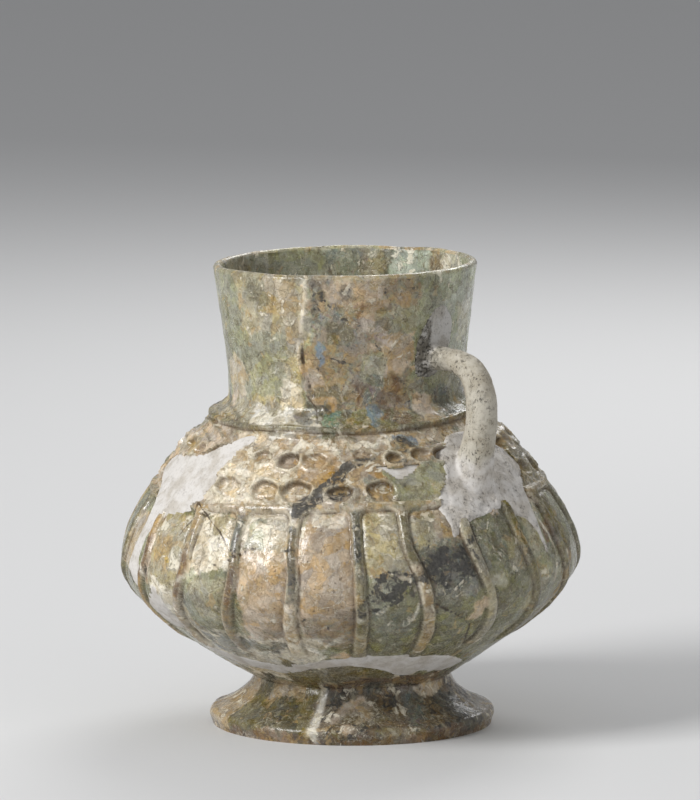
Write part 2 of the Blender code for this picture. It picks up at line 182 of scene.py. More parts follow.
def wall_points():
    up = np.array((0.0, 1.0))
    spans = [
        (RIM, RIM + outward(98, 16.9), NECK + up * 3.3, NECK),
        (NECK, NECK - up * 8.7, COLLAR - outward(40, 8.7), COLLAR),
        (COLLAR, COLLAR + outward(55, 14.8), BOWL + up * 17.2, BOWL),
        (BOWL, BOWL - up * 13.1, WAIST + outward(-32, 26.5), WAIST),
    ]
    parts = [bezier(*span)[:-1] for span in spans]
    return np.concatenate([*parts, [WAIST]])


def foot_points():
    """From the waist over the foot's upper side and round its edge to its outer rest line."""
    roll = FOOT_EDGE * 0.6
    edge = np.array((FOOT_RADIUS - roll, FOOT_EDGE * 1.35))
    reach = edge - WAIST
    upper = bezier(WAIST, WAIST + reach * (0.12, 0.45), edge - reach * (0.45, 0.22), edge)
    turn = np.radians(np.linspace(0, 95, 20))[1:]
    round_edge = edge + np.stack([np.sin(turn), np.cos(turn) - 1], 1) * roll
    rest = np.array((FOOT_REST_RADIUS, 0.0))
    down = np.linspace(round_edge[-1], rest, 12)[1:]
    return np.concatenate([upper, round_edge, down])


WALL_LINE = Line(wall_points())
FOOT_LINE = Line(foot_points())


def smooth(x):
    """0 below 0, 1 above 1, and an even curve between them."""
    x = np.clip(x, 0, 1)
    return x * x * (3 - 2 * x)


def bump(x):
    """1 at 0, falling off to both sides within about 1.5."""
    return np.exp(-x * x)


def around(angle, radius, height):
    """Points at these angles in degrees, radii and heights."""
    turn = np.radians(angle)
    return np.stack([radius * np.sin(turn), -radius * np.cos(turn), height], -1)


def leaned(points):
    """What is above the waist is turned a little on the foot, towards -X."""
    rise = smooth((points[:, 2] - WAIST[1] + LEAN_STRETCH) / (2 * LEAN_STRETCH))
    turn = -LEAN * rise
    x, z = points[:, 0], points[:, 2] - WAIST[1]
    new_x = x * np.cos(turn) + z * np.sin(turn) + LEAN_SHIFT
    new_z = z * np.cos(turn) - x * np.sin(turn) + WAIST[1]
    return np.stack([new_x, points[:, 1], new_z], 1)


def lattice(cell, seed):
    """An even random number from -1 to 1 for each corner of a lattice."""
    mixed = cell[..., 0] * np.uint32(73856093)
    mixed ^= cell[..., 1] * np.uint32(19349663)
    mixed ^= cell[..., 2] * np.uint32(83492791)
    mixed ^= np.uint32(seed * 2654435761 % 4294967296)
    for shift in (15, 13, 16):
        mixed ^= mixed >> np.uint32(shift)
        mixed *= np.uint32(0x2C1B3C6D)
    mixed ^= mixed >> np.uint32(14)
    return mixed.astype(np.float64) / 2147483647.5 - 1


def noise(points, size, seed, octaves=3):
    """Even noise of about -1 to 1, with marks of this size in millimetres."""
    total = np.zeros(len(points))
    weight = 1.0
    for octave in range(octaves):
        place = points / size * 2**octave + 517.3 + 31.7 * octave
        base = np.floor(place)
        part = smooth(place - base)
        cell = base.astype(np.int64).astype(np.uint32)
        value = np.zeros(len(points))
        for corner in range(8):
            offset = np.array([corner & 1, corner >> 1 & 1, corner >> 2], np.uint32)
            share = np.prod(np.where(offset, part, 1 - part), axis=1)
            value += share * lattice(cell + offset, seed + octave)
        total += value * weight
        weight *= 0.55
    return total * 1.1


def turn_between(angle, other):
    """The way from one angle to another, from -180 to 180 degrees."""
    return (angle - other + 180) % 360 - 180


# Height of the collar thread and the belt thread, by angle
COLLAR_RUN = [
    (-180, 109.0), (-90, 108.6), (-60, 108.2), (-42, 107.6), (-25, 108.6), (-9, 108.0),
    (2, 107.6), (15, 107.9), (30, 108.5), (45, 109.0), (60, 109.8), (100, 109.2), (180, 109.0),
]  # fmt: skip
BELT_RUN = [
    (-180, 83.6), (-90, 83.6), (-60, 82.8), (-45, 83.0), (-30, 83.8), (-15, 84.2), (0, 84.8),
    (12, 84.9), (27, 84.6), (60, 83.6), (180, 83.6),
]  # fmt: skip

# Thin threads beside the collar, as runs of (angle, height)
THIN_THREADS = [
    [(-38, 106.6), (-28, 106.2), (-15, 105.7), (-2, 105.9), (3, 104.9)],
    [(-84, 110.6), (-70, 110.2), (-58, 108.9), (-46, 107.2), (-38, 106.4)],
    [(-88, 106.4), (-74, 106.8), (-62, 105.4), (-56, 103.6)],
    [(-80, 104.4), (-70, 103.2), (-62, 101.4)],
    [(-74, 112.6), (-64, 111.8), (-56, 110.2), (-50, 109.6)],
]

# Ribs: where their tops stand off the even pitch, and how far they fan out at their feet
RIB_TOP_SHIFT = [
    (-100, 0), (-63, -1.0), (-46, 0), (-30, -1.3), (-14, -1.6), (2, -1.0), (16, -4.4),
    (33, -2.7), (50, -2.0), (95, 0),
]  # fmt: skip
RIB_FAN = 12.0

# Cells of the net that show well: (angle, height, half width, half height, depth)
NET_CELLS = [
    (-42, 97.2, 3.6, 2.6, 0.35), (-31, 98.6, 2.8, 2.0, 0.6), (-20.8, 97.9, 3.6, 3.2, 1.2),
    (-12.0, 98.2, 3.5, 2.4, 0.55), (-2, 97.0, 3.2, 2.2, 0.2), (5.5, 99.5, 2.6, 1.8, 0.4),
    (15.8, 98.6, 2.6, 2.0, 1.1), (26, 99.0, 3.0, 2.0, 0.8), (35, 98.4, 3.0, 2.2, 1.3),
    (-39.5, 89.3, 4.6, 3.3, 0.75), (-26, 89.0, 4.3, 3.6, 1.05), (-16.3, 89.0, 4.5, 3.2, 1.3),
    (-2.5, 88.6, 3.6, 2.2, 1.0), (10.3, 88.7, 4.4, 3.6, 1.0), (20.5, 89.5, 3.6, 3.0, 0.3),
]  # fmt: skip

# Cracks between the glued sherds: how dark they are, and their run of (angle, height)
CRACKS = [
    (0.8, [(-48, 83.5), (-43, 80), (-37, 76), (-33, 71.5), (-31, 70)]),
    (1.0, [(-54, 55), (-49, 58), (-43, 61.5), (-37, 64.5), (-31, 67.8), (-27, 70.8), (-25, 71.6)]),
    (0.5, [(0, 50), (2.5, 54), (4.5, 58), (5.5, 62)]),
    (0.4, [(4, 46.5), (10, 51.5), (15, 56), (19, 60), (24, 65), (27, 70)]),
    (1.0, [(22, 52), (27, 48.8), (32, 45.5), (35, 42.8)]),
    (0.8, [(35, 42.8), (37, 38), (40, 34)]),
    (0.3, [(-15, 31), (-10, 34.5), (-6, 38.5), (-2, 42), (4, 46.5)]),
    (0.6, [(-17, 19), (-17.6, 14), (-17.2, 9), (-15.5, 4)]),
    (0.7, [(43, 161), (43.2, 155), (43.6, 150), (41, 147)]),
    (0.25, [(30, 161), (27, 155), (21, 149), (17, 144), (12, 138)]),
    (0.6, [(-20, 119), (-15, 115), (-13, 110)]),
    (0.5, [(47, 120), (49, 114), (52, 110)]),
    (0.7, [(-48, 83.5), (-49, 78), (-51, 73)]),
    (0.6, [(118, 161), (112, 148), (121, 133), (116, 120), (124, 110)]),
    (0.9, [(-105, 108), (-112, 96), (-104, 84), (-110, 70), (-124, 58), (-120, 42), (-128, 30)]),
    (0.8, [(-110, 70), (-92, 64), (-80, 66)]),
    (0.9, [(84, 84), (92, 72), (104, 66), (118, 60), (131, 47), (146, 40)]),
    (0.7, [(104, 66), (108, 78), (116, 84)]),
    (0.5, [(178, 160), (184, 146), (176, 130), (181, 112)]),
    (0.9, [(150, 84), (158, 66), (152, 52), (160, 34)]),
    (0.8, [(-160, 84), (-150, 70), (-158, 55), (-148, 36)]),
    (0.25, [(-60, 161), (-64, 150), (-70, 138), (-66, 124)]),
]

CRACK_HALF = 0.42
CRACK_REACH = 4

# A sherd of the neck stands out along this run, with a dark gap beside it
NECK_RIDGE = [(-17.3, 161), (-18, 151), (-19.6, 145), (-20.4, 140), (-22.2, 135), (-22.4, 130)]
NECK_GAP = [(-20.6, 138), (-21.2, 131), (-19.4, 126), (-18, 122), (-16.8, 119)]

# Outlines of the plaster, as (angle, level): level 0 is the waist, 1 the collar and 2 the rim
SHOULDER_FILL = [
    (-36.0, 0.955), (-43.0, 0.895), (-46.5, 0.80), (-47.5, 0.735), (-52.0, 0.68), (-57.0, 0.665),
    (-62.0, 0.66), (-65.0, 0.64), (-66.5, 0.53), (-66.0, 0.44), (-69.0, 0.37), (-73.0, 0.40),
    (-74.0, 0.47), (-71.0, 0.56), (-70.0, 0.64), (-74.0, 0.72), (-84.0, 0.765), (-92.0, 0.80),
    (-84.0, 0.85), (-70.0, 0.86), (-60.0, 0.88), (-52.0, 0.925), (-42.0, 0.965),
]  # fmt: skip
FLANK_FILL = [
    (-57.5, 0.435), (-66.0, 0.36), (-70.5, 0.31), (-69.0, 0.25), (-62.0, 0.215), (-57.5, 0.255),
    (-56.5, 0.33),
]  # fmt: skip
BASE_FILL = [
    (-64.0, 0.165), (-50.0, 0.15), (-36.0, 0.125), (-25.0, 0.115), (-12.0, 0.145), (0.0, 0.165),
    (20.0, 0.165), (38.0, 0.14), (58.0, 0.085), (46.0, 0.055), (22.0, 0.055), (12.0, 0.095),
    (0.0, 0.12), (-14.0, 0.105), (-28.0, 0.065), (-44.0, 0.08), (-58.0, 0.115),
]  # fmt: skip
FRONT_FILL = [
    (5.5, 0.875), (16.0, 0.862), (28.0, 0.872), (24.5, 0.845), (20.0, 0.815), (15.5, 0.805),
    (12.0, 0.835),
]  # fmt: skip
NECK_PATCH = [
    (47.0, 1.775), (53.0, 1.74), (58.0, 1.65), (58.5, 1.53), (56.5, 1.42), (52.5, 1.325),
    (47.0, 1.275), (41.0, 1.265), (35.5, 1.275), (32.5, 1.35), (34.0, 1.52), (38.0, 1.66),
    (42.5, 1.74),
]  # fmt: skip
HANDLE_PATCH = [
    (38.0, 0.925), (33.5, 0.88), (31.5, 0.805), (27.5, 0.77), (26.5, 0.70), (28.5, 0.645),
    (25.0, 0.56), (29.0, 0.60), (32.0, 0.655), (35.0, 0.665), (42.0, 0.67), (47.0, 0.685),
    (49.5, 0.71), (52.0, 0.66), (55.0, 0.635), (57.5, 0.60), (58.5, 0.50), (60.0, 0.50),
    (59.8, 0.61), (60.5, 0.67), (63.5, 0.735), (69.0, 0.775), (72.0, 0.80), (70.0, 0.85),
    (64.0, 0.90), (57.0, 0.945), (50.0, 0.955), (43.0, 0.95),
]  # fmt: skip
PATCHES = {
    "plaster_fill_shoulder": SHOULDER_FILL,
    "plaster_fill_flank": FLANK_FILL,
    "plaster_fill_base": BASE_FILL,
    "plaster_fill_front": FRONT_FILL,
    "neck_patch": NECK_PATCH,
    "handle_patch": HANDLE_PATCH,
}
HOLE_MARGIN = 0.9
PATCH_REACH = 1.3
PATCH_NOISE = 0.3

# The handle's middle line, as (radius, height), and its thickness along it
HANDLE_ANGLE = 45.0
HANDLE_LINE = [
    (38.0, 129.9), (43.0, 130.1), (49.0, 130.0), (54.5, 129.3), (59.2, 127.2), (62.5, 123.0),
    (64.2, 117.0), (64.2, 110.5), (63.0, 104.5), (61.6, 99.0), (60.2, 93.5), (58.6, 87.5),
    (57.0, 81.5),
]  # fmt: skip
HANDLE_RADII = [5.6, 4.5, 4.05, 4.25, 4.7, 5.05, 5.3, 5.45, 5.6, 6.1, 7.0, 8.2, 8.6]


def chart(angle, along, middle):
    """Flat places near a middle angle: millimetres across and along the wall."""
    radius, _ = WALL_LINE.at(along)
    return np.stack([np.radians(turn_between(angle, middle)) * radius, along], -1)


def level_heights(levels):
    """Heights of levels: 0 is the waist, 1 the collar and 2 the rim."""
    low = WAIST[1] + levels * (COLLAR[1] - WAIST[1])
    high = COLLAR[1] + (levels - 1) * (RIM_HEIGHT - COLLAR[1])
    return np.where(levels <= 1, low, high)


def stretch_distance(places, start, end):
    """Distances from flat places to the straight stretch between two corners."""
    way = end - start
    share = np.clip((places - start) @ way / (way @ way), 0, 1)
    off = places - start - share[:, None] * way
    return np.hypot(off[:, 0], off[:, 1])


def run_distance(angle, height, run):
    """Millimetres along the wall from each place to a run of (angle, height)."""
    run = np.array(run, float)
    middle = run[:, 0].mean()
    places = chart(angle, WALL_LINE.along_at(height), middle)
    corners = chart(run[:, 0], WALL_LINE.along_at(run[:, 1]), middle)
    nearest = np.full(len(places), 1e9)
    for start, end in zip(corners, corners[1:]):
        nearest = np.minimum(nearest, stretch_distance(places, start, end))
    return nearest


def near_run(angle, height, run, reach):
    """Which places are near a run, and how far in millimetres they are from it."""
    angles, heights = np.array(run).T
    middle = (angles.min() + angles.max()) / 2
    wide = (angles.max() - angles.min()) / 2 + reach
    near = np.abs(turn_between(angle, middle)) < wide
    near &= (height > heights.min() - reach) & (height < heights.max() + reach)
    return near, run_distance(angle[near], height[near], run)


def rounded(outline, times=2):
    """The closed outline with its corners cut off a few times."""
    for _ in range(times):
        after = np.roll(outline, -1, axis=0)
        outline = np.stack([outline * 0.78 + after * 0.22, outline * 0.22 + after * 0.78], 1)
        outline = outline.reshape(-1, 2)
    return outline


def outline_distance(angle, along, outline):
    """Millimetres to the edge of a plaster outline, negative inside it."""
    outline = np.array(outline)
    heights = level_heights(outline[:, 1])
    middle = (outline[:, 0].min() + outline[:, 0].max()) / 2
    corners = rounded(chart(outline[:, 0], WALL_LINE.along_at(heights), middle))
    places = chart(angle, along, middle)
    nearest = np.full(len(places), 1e9)
    inside = np.zeros(len(places), bool)
    for start, end in zip(corners, np.roll(corners, -1, axis=0)):
        way = end - start
        nearest = np.minimum(nearest, stretch_distance(places, start, end))
        crosses = (start[1] > places[:, 1]) != (end[1] > places[:, 1])
        height = np.where(way[1] == 0, 1e-9, way[1])
        inside ^= crosses & (places[:, 0] < start[0] + (places[:, 1] - start[1]) * way[0] / height)
    return np.where(inside, -nearest, nearest)


def plaster_distance(angle, along, names=tuple(PATCHES)):
    """Millimetres to the nearest plaster, negative inside it, with an uneven edge."""
    place = around(angle, *WALL_LINE.at(along))
    nearest = np.full(len(angle), 1e9)
    for name in names:
        nearest = np.minimum(nearest, outline_distance(angle, along, PATCHES[name]))
    return nearest + PATCH_NOISE * noise(place, 5.5, 71, 1)


def cells():
    """Every cell of the net: the ones that show well, and evenly placed ones elsewhere."""
    made = list(NET_CELLS)
    draw = np.random.default_rng(5)
    for row, height in enumerate((98.0, 89.0)):
        for index in range(CELL_COUNT):
            angle = (index + row / 2) * 360 / CELL_COUNT + draw.uniform(-1.2, 1.2)
            if -46 < turn_between(angle, 0) < 40:
                continue
            size = draw.uniform(3.1, 4.2)
            lift = draw.uniform(-0.6, 0.6)
            made.append((angle, height + lift, size, size * 0.85, draw.uniform(0.7, 1.3)))
    return made


def net_relief(angle, along, place):
    """The net as a raised band with rounded cells sunk in it, how far inside a cell, painted shade along
    the cells' edges, darkest at their tops, and painted highlight on their raised rims.
    """
    top, bottom = WALL_LINE.along_at(NET_TOP), WALL_LINE.along_at(NET_BOTTOM)
    near = (along > top - 3) & (along < bottom + 3)
    relief = np.zeros(len(angle))
    inside = np.zeros(len(angle))
    cell_shade_lines = np.zeros(len(angle))
    cell_rim_highlights = np.zeros(len(angle))
    some_angle, some_along = angle[near], along[near]
    ragged = noise(place[near], 4.0, 23, 2)
    band = smooth((some_along - top + 0.8 * ragged) / 1.8)
    band *= smooth((bottom - some_along + 0.5 * ragged) / 1.5)
    made = band * (0.85 + 0.25 * noise(place[near], 9.0, 24, 2))
    hollow = np.zeros(len(made))
    outline = np.zeros(len(made))
    pale_rim = np.zeros(len(made))
    for cell_angle, cell_height, width, height, depth in cells():
        flat = chart(some_angle, some_along, cell_angle)
        middle = WALL_LINE.along_at(cell_height)
        across, up = flat[:, 0] / width, (middle - flat[:, 1]) / height
        reach = (np.sqrt(across**2 + up**2) - 1) * min(width, height) + 0.55 * ragged
        pocket = smooth((0.5 - reach) / 1.0)
        floor = 1.35 * depth * pocket * (0.45 + 0.75 * smooth(up + 0.6))
        rim = 0.75 * min(depth, 1) * bump((reach - 0.95) / 0.55)
        made += rim - floor
        # The rims' height, kept for the painted highlight on them
        pale_rim = np.maximum(pale_rim, rim)
        hollow = np.maximum(hollow, pocket * min(depth, 1))
        # Painted shade along each cell's edge, strongest at its top, kept in outline
        shadow = bump((reach - 0.1) / 0.45) * (0.25 + 0.75 * smooth(up + 0.4))
        outline = np.maximum(outline, shadow * min(depth, 1))
    relief[near] = np.maximum(made, NET_FLOOR)
    inside[near] = hollow
    cell_shade_lines[near] = outline
    # Painted highlight on the cells' raised rims
    cell_rim_highlights[near] = np.clip(pale_rim * 1.3 * (0.7 + 0.6 * ragged), 0, 1)
    return relief, inside, cell_shade_lines, cell_rim_highlights


def rib_places(angle, height):
    """How far each place is from the nearest rib, in millimetres, and that rib's number."""
    fan = RIB_FAN * np.sin(np.radians(angle)) * smooth((66 - height) / 30)
    shift = np.interp(turn_between(angle, 0), *np.array(RIB_TOP_SHIFT).T)
    straight = angle - fan - shift * (0.35 + 0.65 * smooth((height - 60) / 14))
    number = np.round((straight - RIB_ANGLE) / RIB_PITCH)
    wobble_place = np.stack([number * 37.0, height, np.zeros(len(height))], 1)
    wobble = 0.5 * noise(wobble_place, 19.0, 31, 2)
    radius, _ = WALL_LINE.at(WALL_LINE.along_at(height))
    off = turn_between(straight, RIB_ANGLE + number * RIB_PITCH)
    return np.radians(off) * radius + wobble, number % RIB_COUNT


def panel_relief(angle, along, height, place):
    """Ribs and belt as a frame of trails round panels with round upper corners, with a painted shade line
    beside the trails and a painted highlight along their edges.
    """
    off, number = rib_places(angle, height)
    radius, _ = WALL_LINE.at(along)
    half_pitch = np.radians(RIB_PITCH / 2) * radius
    belt = WALL_LINE.along_at(np.interp(turn_between(angle, 0), *np.array(BELT_RUN).T))
    ragged = noise(place, 5.0, 33, 2)
    half_rib = RIB_HALF * (1 + 0.12 * ragged)
    side = half_pitch - np.abs(off) - (half_pitch - half_rib - PANEL_CORNER)
    end = PANEL_CORNER - (along - belt - 1.4)
    beyond = np.hypot(np.maximum(side, 0), np.maximum(end, 0))
    edge = beyond + np.minimum(np.maximum(side, end), 0) - PANEL_CORNER
    foot_place = np.stack([number * 53.0, number * 11.0, number * 0], 1)
    foot = 32.5 + 2.5 * noise(foot_place, 7.0, 35, 1)
    worn = 0.86 + 0.14 * noise(place, 14.0, 34, 2)
    across = np.clip((edge + 0.25) / (half_rib + 0.25), 0, 1)
    dome = np.sqrt(1 - (1 - across) ** 2)
    above = smooth((along - belt + 1.7) / 1.0)
    below = smooth((height - foot + 2) / 6)
    groove = 0.32 * bump((edge + 0.75) / 0.6)
    pillow = 0.45 * smooth(-edge / 5.0) - 0.25 - groove
    pillow *= smooth((along - belt) / 2) * below
    on_trail = smooth((edge + 0.2) / 0.7) * above * below
    in_panel = smooth((along - belt + 0.5) / 1.5) * below
    # Painted shade: a thin dark line in the panel just beside the trails
    line = bump((edge + 0.45) / 0.45) * in_panel * np.clip(0.75 + 0.7 * ragged, 0, 1)
    # Painted highlight: a thin pale line along the trails' rounded edges
    edge_highlight = bump((edge - 0.25) / 0.35) * in_panel * np.clip(0.6 + 0.8 * ragged, 0, 1)
    return RIB_HEIGHT * worn * dome * above * below + pillow, on_trail, edge_highlight, number, line


def collar_relief(angle, along):
    """The collar thread and the thin threads beside it, with a painted shade line just under the thread
    and a fainter one above it.
    """
    height = np.interp(turn_between(angle, 0), *np.array(COLLAR_RUN).T)
    off = along - WALL_LINE.along_at(height)
    thread = 1.15 * np.sqrt(np.clip(1 - (off / 1.1) ** 2, 0, 1))
    upright = WALL_LINE.at(along)[1]
    near = np.abs(upright - 108) < 10
    thin = np.zeros(len(angle))
    for run in THIN_THREADS:
        distance = run_distance(angle[near], upright[near], run)
        thin[near] = np.maximum(thin[near], 0.8 * bump(distance / 0.55))
    # Painted shade: a dark line just under the collar thread and a fainter one above it
    line = bump((off - 1.35) / 0.45) * 0.95 + bump((off + 1.3) / 0.3) * 0.35
    return np.maximum(thread, thin), np.clip(thread + thin, 0, 1), line


def crack_depth(angle, height, place):
    """0 to 1: how near a crack each place is."""
    near_crack = np.zeros(len(angle))
    ragged = 0.2 * noise(place, 2.5, 41, 2)
    for strength, run in CRACKS:
        near, distance = near_run(angle, height, run, CRACK_REACH)
        depth = strength * bump((distance + ragged[near]) / CRACK_HALF)
        near_crack[near] = np.maximum(near_crack[near], depth)
    return near_crack


def wall_relief(angle, along):
    """How far the outer side stands out of the wall line, with what the paint needs to know."""
    radius, height = WALL_LINE.at(along)
    place = around(angle, radius, height)
    net, in_cell, net_shade_line, net_highlight = net_relief(angle, along, place)
    panels, on_trail, edge_highlight, number, rib_shade_line = panel_relief(angle, along, height, place)
    collar, on_collar, collar_shade_line = collar_relief(angle, along)
    crack = crack_depth(angle, height, place)
    relief = np.where(height > PANEL_TOP, net, panels)
    at_belt = np.abs(height - PANEL_TOP) < PANEL_BLEND
    relief = np.where(at_belt, np.maximum(net, panels), relief)
    relief = np.where(collar > 0.02, np.maximum(collar, relief), relief)
    relief += 0.16 * noise(place, 24.0, 11, 2) + 0.07 * noise(place, 6.0, 12, 3)
    relief += 0.05 * noise(place, 1.9, 13, 2)
    relief += 0.13 * smooth((noise(place, 8.0, 17, 4) - 0.05) / 0.1)
    relief -= 0.3 * crack
    ridge = run_distance(angle, height, NECK_RIDGE)
    gap = run_distance(angle, height, NECK_GAP)
    neck = smooth((height - NECK_FOOT) / 4)
    ridge_shape = bump((ridge + 0.4 * noise(place, 4, 14, 2)) / 1.1) * neck
    gap_shape = bump((gap + 0.3 * noise(place, 3, 15, 2)) / 0.9) * neck
    relief += 0.75 * ridge_shape - 1.25 * gap_shape
    facts = {
        "in_cell": in_cell,
        "on_trail": on_trail,
        "on_collar": on_collar,
        "number": number,
        # Painted highlight along the trails' edges and on the cells' rims
        "edge_highlight": np.maximum(edge_highlight, net_highlight),
        # Painted shade beside the trails, under the collar thread and along the cells' upper edges
        "line": np.maximum(np.maximum(net_shade_line, rib_shade_line), collar_shade_line),
        "crack": np.maximum(crack, gap_shape * smooth(0.6 + 0.7 * noise(place, 3.0, 16, 2))),
        "ridge": ridge_shape,
    }
    return relief, facts


class Shell:
    """Collects rings of points and strips of faces between them."""

    def __init__(self):
        self.points = []
        self.paint_places = []
        self.count = 0
        self.faces = {3: [], 4: [], 5: []}

    def add(self, points, paint_place):
        """Adds points; paint_place is (angle, height, side) for each, side 1 outside."""
        first = self.count
        self.points.append(points)
        self.paint_places.append(paint_place)
        self.count += len(points)
        return np.arange(first, self.count)

    def strip(self, upper, lower, keep=None):
        """Joins two rings of equal count, one of half the count, or a single point."""
        if len(lower) == 1 or len(upper) == 1:
            ring = upper if len(lower) == 1 else lower
            tips = np.full(len(ring), lower[0] if len(lower) == 1 else upper[0])
            after = np.roll(ring, -1)
            made = (ring, tips, after) if len(lower) == 1 else (ring, after, tips)
        elif len(upper) == len(lower):
            made = (upper, lower, np.roll(lower, -1), np.roll(upper, -1))
        elif len(upper) == 2 * len(lower):
            after = np.roll(upper[::2], -1)
            made = (upper[::2], lower, np.roll(lower, -1), after, upper[1::2])
        else:
            after = np.roll(lower[::2], -1)
            made = (upper, lower[::2], lower[1::2], after, np.roll(upper, -1))
        faces = np.stack(made, 1)
        self.faces[len(made)].append(faces if keep is None else faces[keep])


def mesh_of(name, points, faces):
    """A mesh from points in millimetres and arrays of faces by their number of corners."""
    mesh = bpy.data.meshes.new(name)
    arrays = [np.concatenate(group) for size, group in sorted(faces.items()) if group]
    used = np.zeros(len(points), bool)
    for array in arrays:
        used[array.ravel()] = True
    renumbered = np.cumsum(used) - 1
    corners = np.concatenate([renumbered[array].ravel() for array in arrays])
    sizes = np.concatenate([np.full(len(array), array.shape[1]) for array in arrays])
    starts = np.concatenate([[0], np.cumsum(sizes)[:-1]])
    mesh.vertices.add(int(used.sum()))
    mesh.vertices.foreach_set("co", (points[used] * MM).astype(np.float32).ravel())
    mesh.loops.add(len(corners))
    mesh.loops.foreach_set("vertex_index", corners.astype(np.int32))
    mesh.polygons.add(len(sizes))
    mesh.polygons.foreach_set("loop_start", starts.astype(np.int32))
    mesh.update(calc_edges=True)
    mesh.validate()
    return mesh, used


def shaded(mesh, angle=58):
    """Smooth shading, with edges sharper than this angle kept sharp."""
    mesh.shade_smooth()
    mesh.set_sharp_from_angle(angle=math.radians(angle))


def rim_drop(angle):
    """How far the rim is worn down, by angle."""
    ring = around(angle, RIM_WEAR_RADIUS, 0.0 * angle)
    return 0.35 + 0.35 * noise(ring, 22.0, 51, 2)


def settled(points):
    """Points with the rim's unevenness, then leaned, in millimetres."""
    angle = np.degrees(np.arctan2(points[:, 0], -points[:, 1]))
    near_rim = smooth((points[:, 2] - RIM_WEAR_START) / RIM_WEAR_REACH)
    points = points.copy()
    points[:, 2] -= rim_drop(angle) * near_rim
    return leaned(points)


def inner_relief(angle, along):
    """The unevenness of the wall's inner side."""
    place = around(angle, *WALL_LINE.at(along, -WALL))
    return 0.12 * noise(place, 12.0, 61, 2) + 0.05 * noise(place, 3.0, 62, 2)


def wall_thickness(along):
    """The wall is a little thicker at the lip."""
    return WALL + (LIP - WALL) * smooth(1 - along / LIP_REACH)


def row_places(start, end, step, fine=0.0):
    """Distances along the wall for the rows of a piece, twice as close over its first stretch."""
    upper = np.linspace(start, start + fine, 2 * round(fine / step) + 1)
    lower = np.linspace(start + fine, end, 2 * max(1, round((end - start - fine) / step / 2)) + 1)
    return np.concatenate([upper[:-1], lower]) if fine else lower


def wall_piece(name, along, columns, top_rows=None, bottom=None):
    """One closed stretch of the glass wall, with its rows at these distances along it.

    The outer side is a fine grid and the inner side one of half its fineness, so that each
    inner face backs a block of four outer ones, and the holes for plaster are whole blocks.
    """
    shell = Shell()
    blocks = (len(along) - 1) // 2
    angle = np.arange(columns) * 360 / columns - 180
    many_along, many_angle = np.meshgrid(along, angle, indexing="ij")
    flat_along, flat_angle = many_along.ravel(), many_angle.ravel()
    relief, facts = wall_relief(flat_angle, flat_along)
    outer_radius, outer_height = WALL_LINE.at(flat_along, relief)
    side = np.ones(len(flat_along))
    heights = WALL_LINE.at(flat_along)[1]
    outer = shell.add(
        around(flat_angle, outer_radius, outer_height), np.stack([flat_angle, heights, side], 1)
    ).reshape(many_along.shape)

    inner_along, inner_angle = many_along[::2, ::2].ravel(), many_angle[::2, ::2].ravel()
    depth = inner_relief(inner_angle, inner_along) - wall_thickness(inner_along)
    inner_radius, inner_height = WALL_LINE.at(inner_along, depth)
    inner_heights = WALL_LINE.at(inner_along)[1]
    inner = shell.add(
        around(inner_angle, inner_radius, inner_height),
        np.stack([inner_angle, inner_heights, 0 * inner_angle], 1),
    ).reshape(blocks + 1, columns // 2)

    middle_along = (along[::2][:-1] + along[::2][1:]) / 2
    middle_angle = inner.shape[1]
    middles = (np.arange(middle_angle) + 0.5) * 360 / middle_angle - 180
    block_along, block_angle = np.meshgrid(middle_along, middles, indexing="ij")
    distance = plaster_distance(block_angle.ravel(), block_along.ravel())
    kept = (distance > -HOLE_MARGIN).reshape(block_along.shape)
    kept[0] |= top_rows is not None
    kept[-1] |= bottom is not None
    join_corners(kept)

    fine = np.repeat(np.repeat(kept, 2, axis=0), 2, axis=1)
    for row in range(blocks * 2):
        shell.strip(outer[row], outer[row + 1], fine[row])
    for row in range(blocks):
        shell.strip(inner[row + 1], inner[row], kept[row])
    close_holes(shell, outer, inner, kept)

    if top_rows is None:
        shell.strip(inner[0], outer[0], kept[0])
    else:
        ring = inner[0]
        for row, (radius, height) in enumerate(top_rows):
            tilt = np.stack([angle, 0 * angle + RIM_HEIGHT, 0 * angle + 1], 1)
            next_ring = shell.add(around(angle, radius, height + 0 * angle), tilt)
            shell.strip(ring, next_ring)
            ring = next_ring
        shell.strip(ring, outer[0])
    if bottom is None:
        shell.strip(outer[-1], inner[-1], kept[-1])
    else:
        bottom(shell, outer[-1], inner[-1], angle)
    return finished_glass(name, shell, facts, len(outer.ravel()))


def join_corners(kept):
    """Adds the blocks that the wall needs where two of its blocks touch only at a corner."""
    for _ in range(3):
        after = np.roll(kept, -1, axis=1)
        falling = kept[:-1] & after[1:] & ~after[:-1] & ~kept[1:]
        rising = after[:-1] & kept[1:] & ~kept[:-1] & ~after[1:]
        kept[1:] |= falling
        kept[:-1] |= rising


def close_holes(shell, outer, inner, kept):
    """Faces across the thickness of the wall round each hole."""
    above, below = kept[:-1] & ~kept[1:], ~kept[:-1] & kept[1:]
    row, column = np.nonzero(above)
    add_side(shell, outer, inner, (row + 1) * 2, column * 2, 0, 1)
    row, column = np.nonzero(below)
    add_side(shell, outer, inner, (row + 1) * 2, column * 2, 0, -1)
    after = np.roll(kept, -1, axis=1)
    row, column = np.nonzero(kept & ~after)
    add_side(shell, outer, inner, row * 2, (column + 1) * 2, 1, -1)
    row, column = np.nonzero(~kept & after)
    add_side(shell, outer, inner, row * 2, (column + 1) * 2, 1, 1)


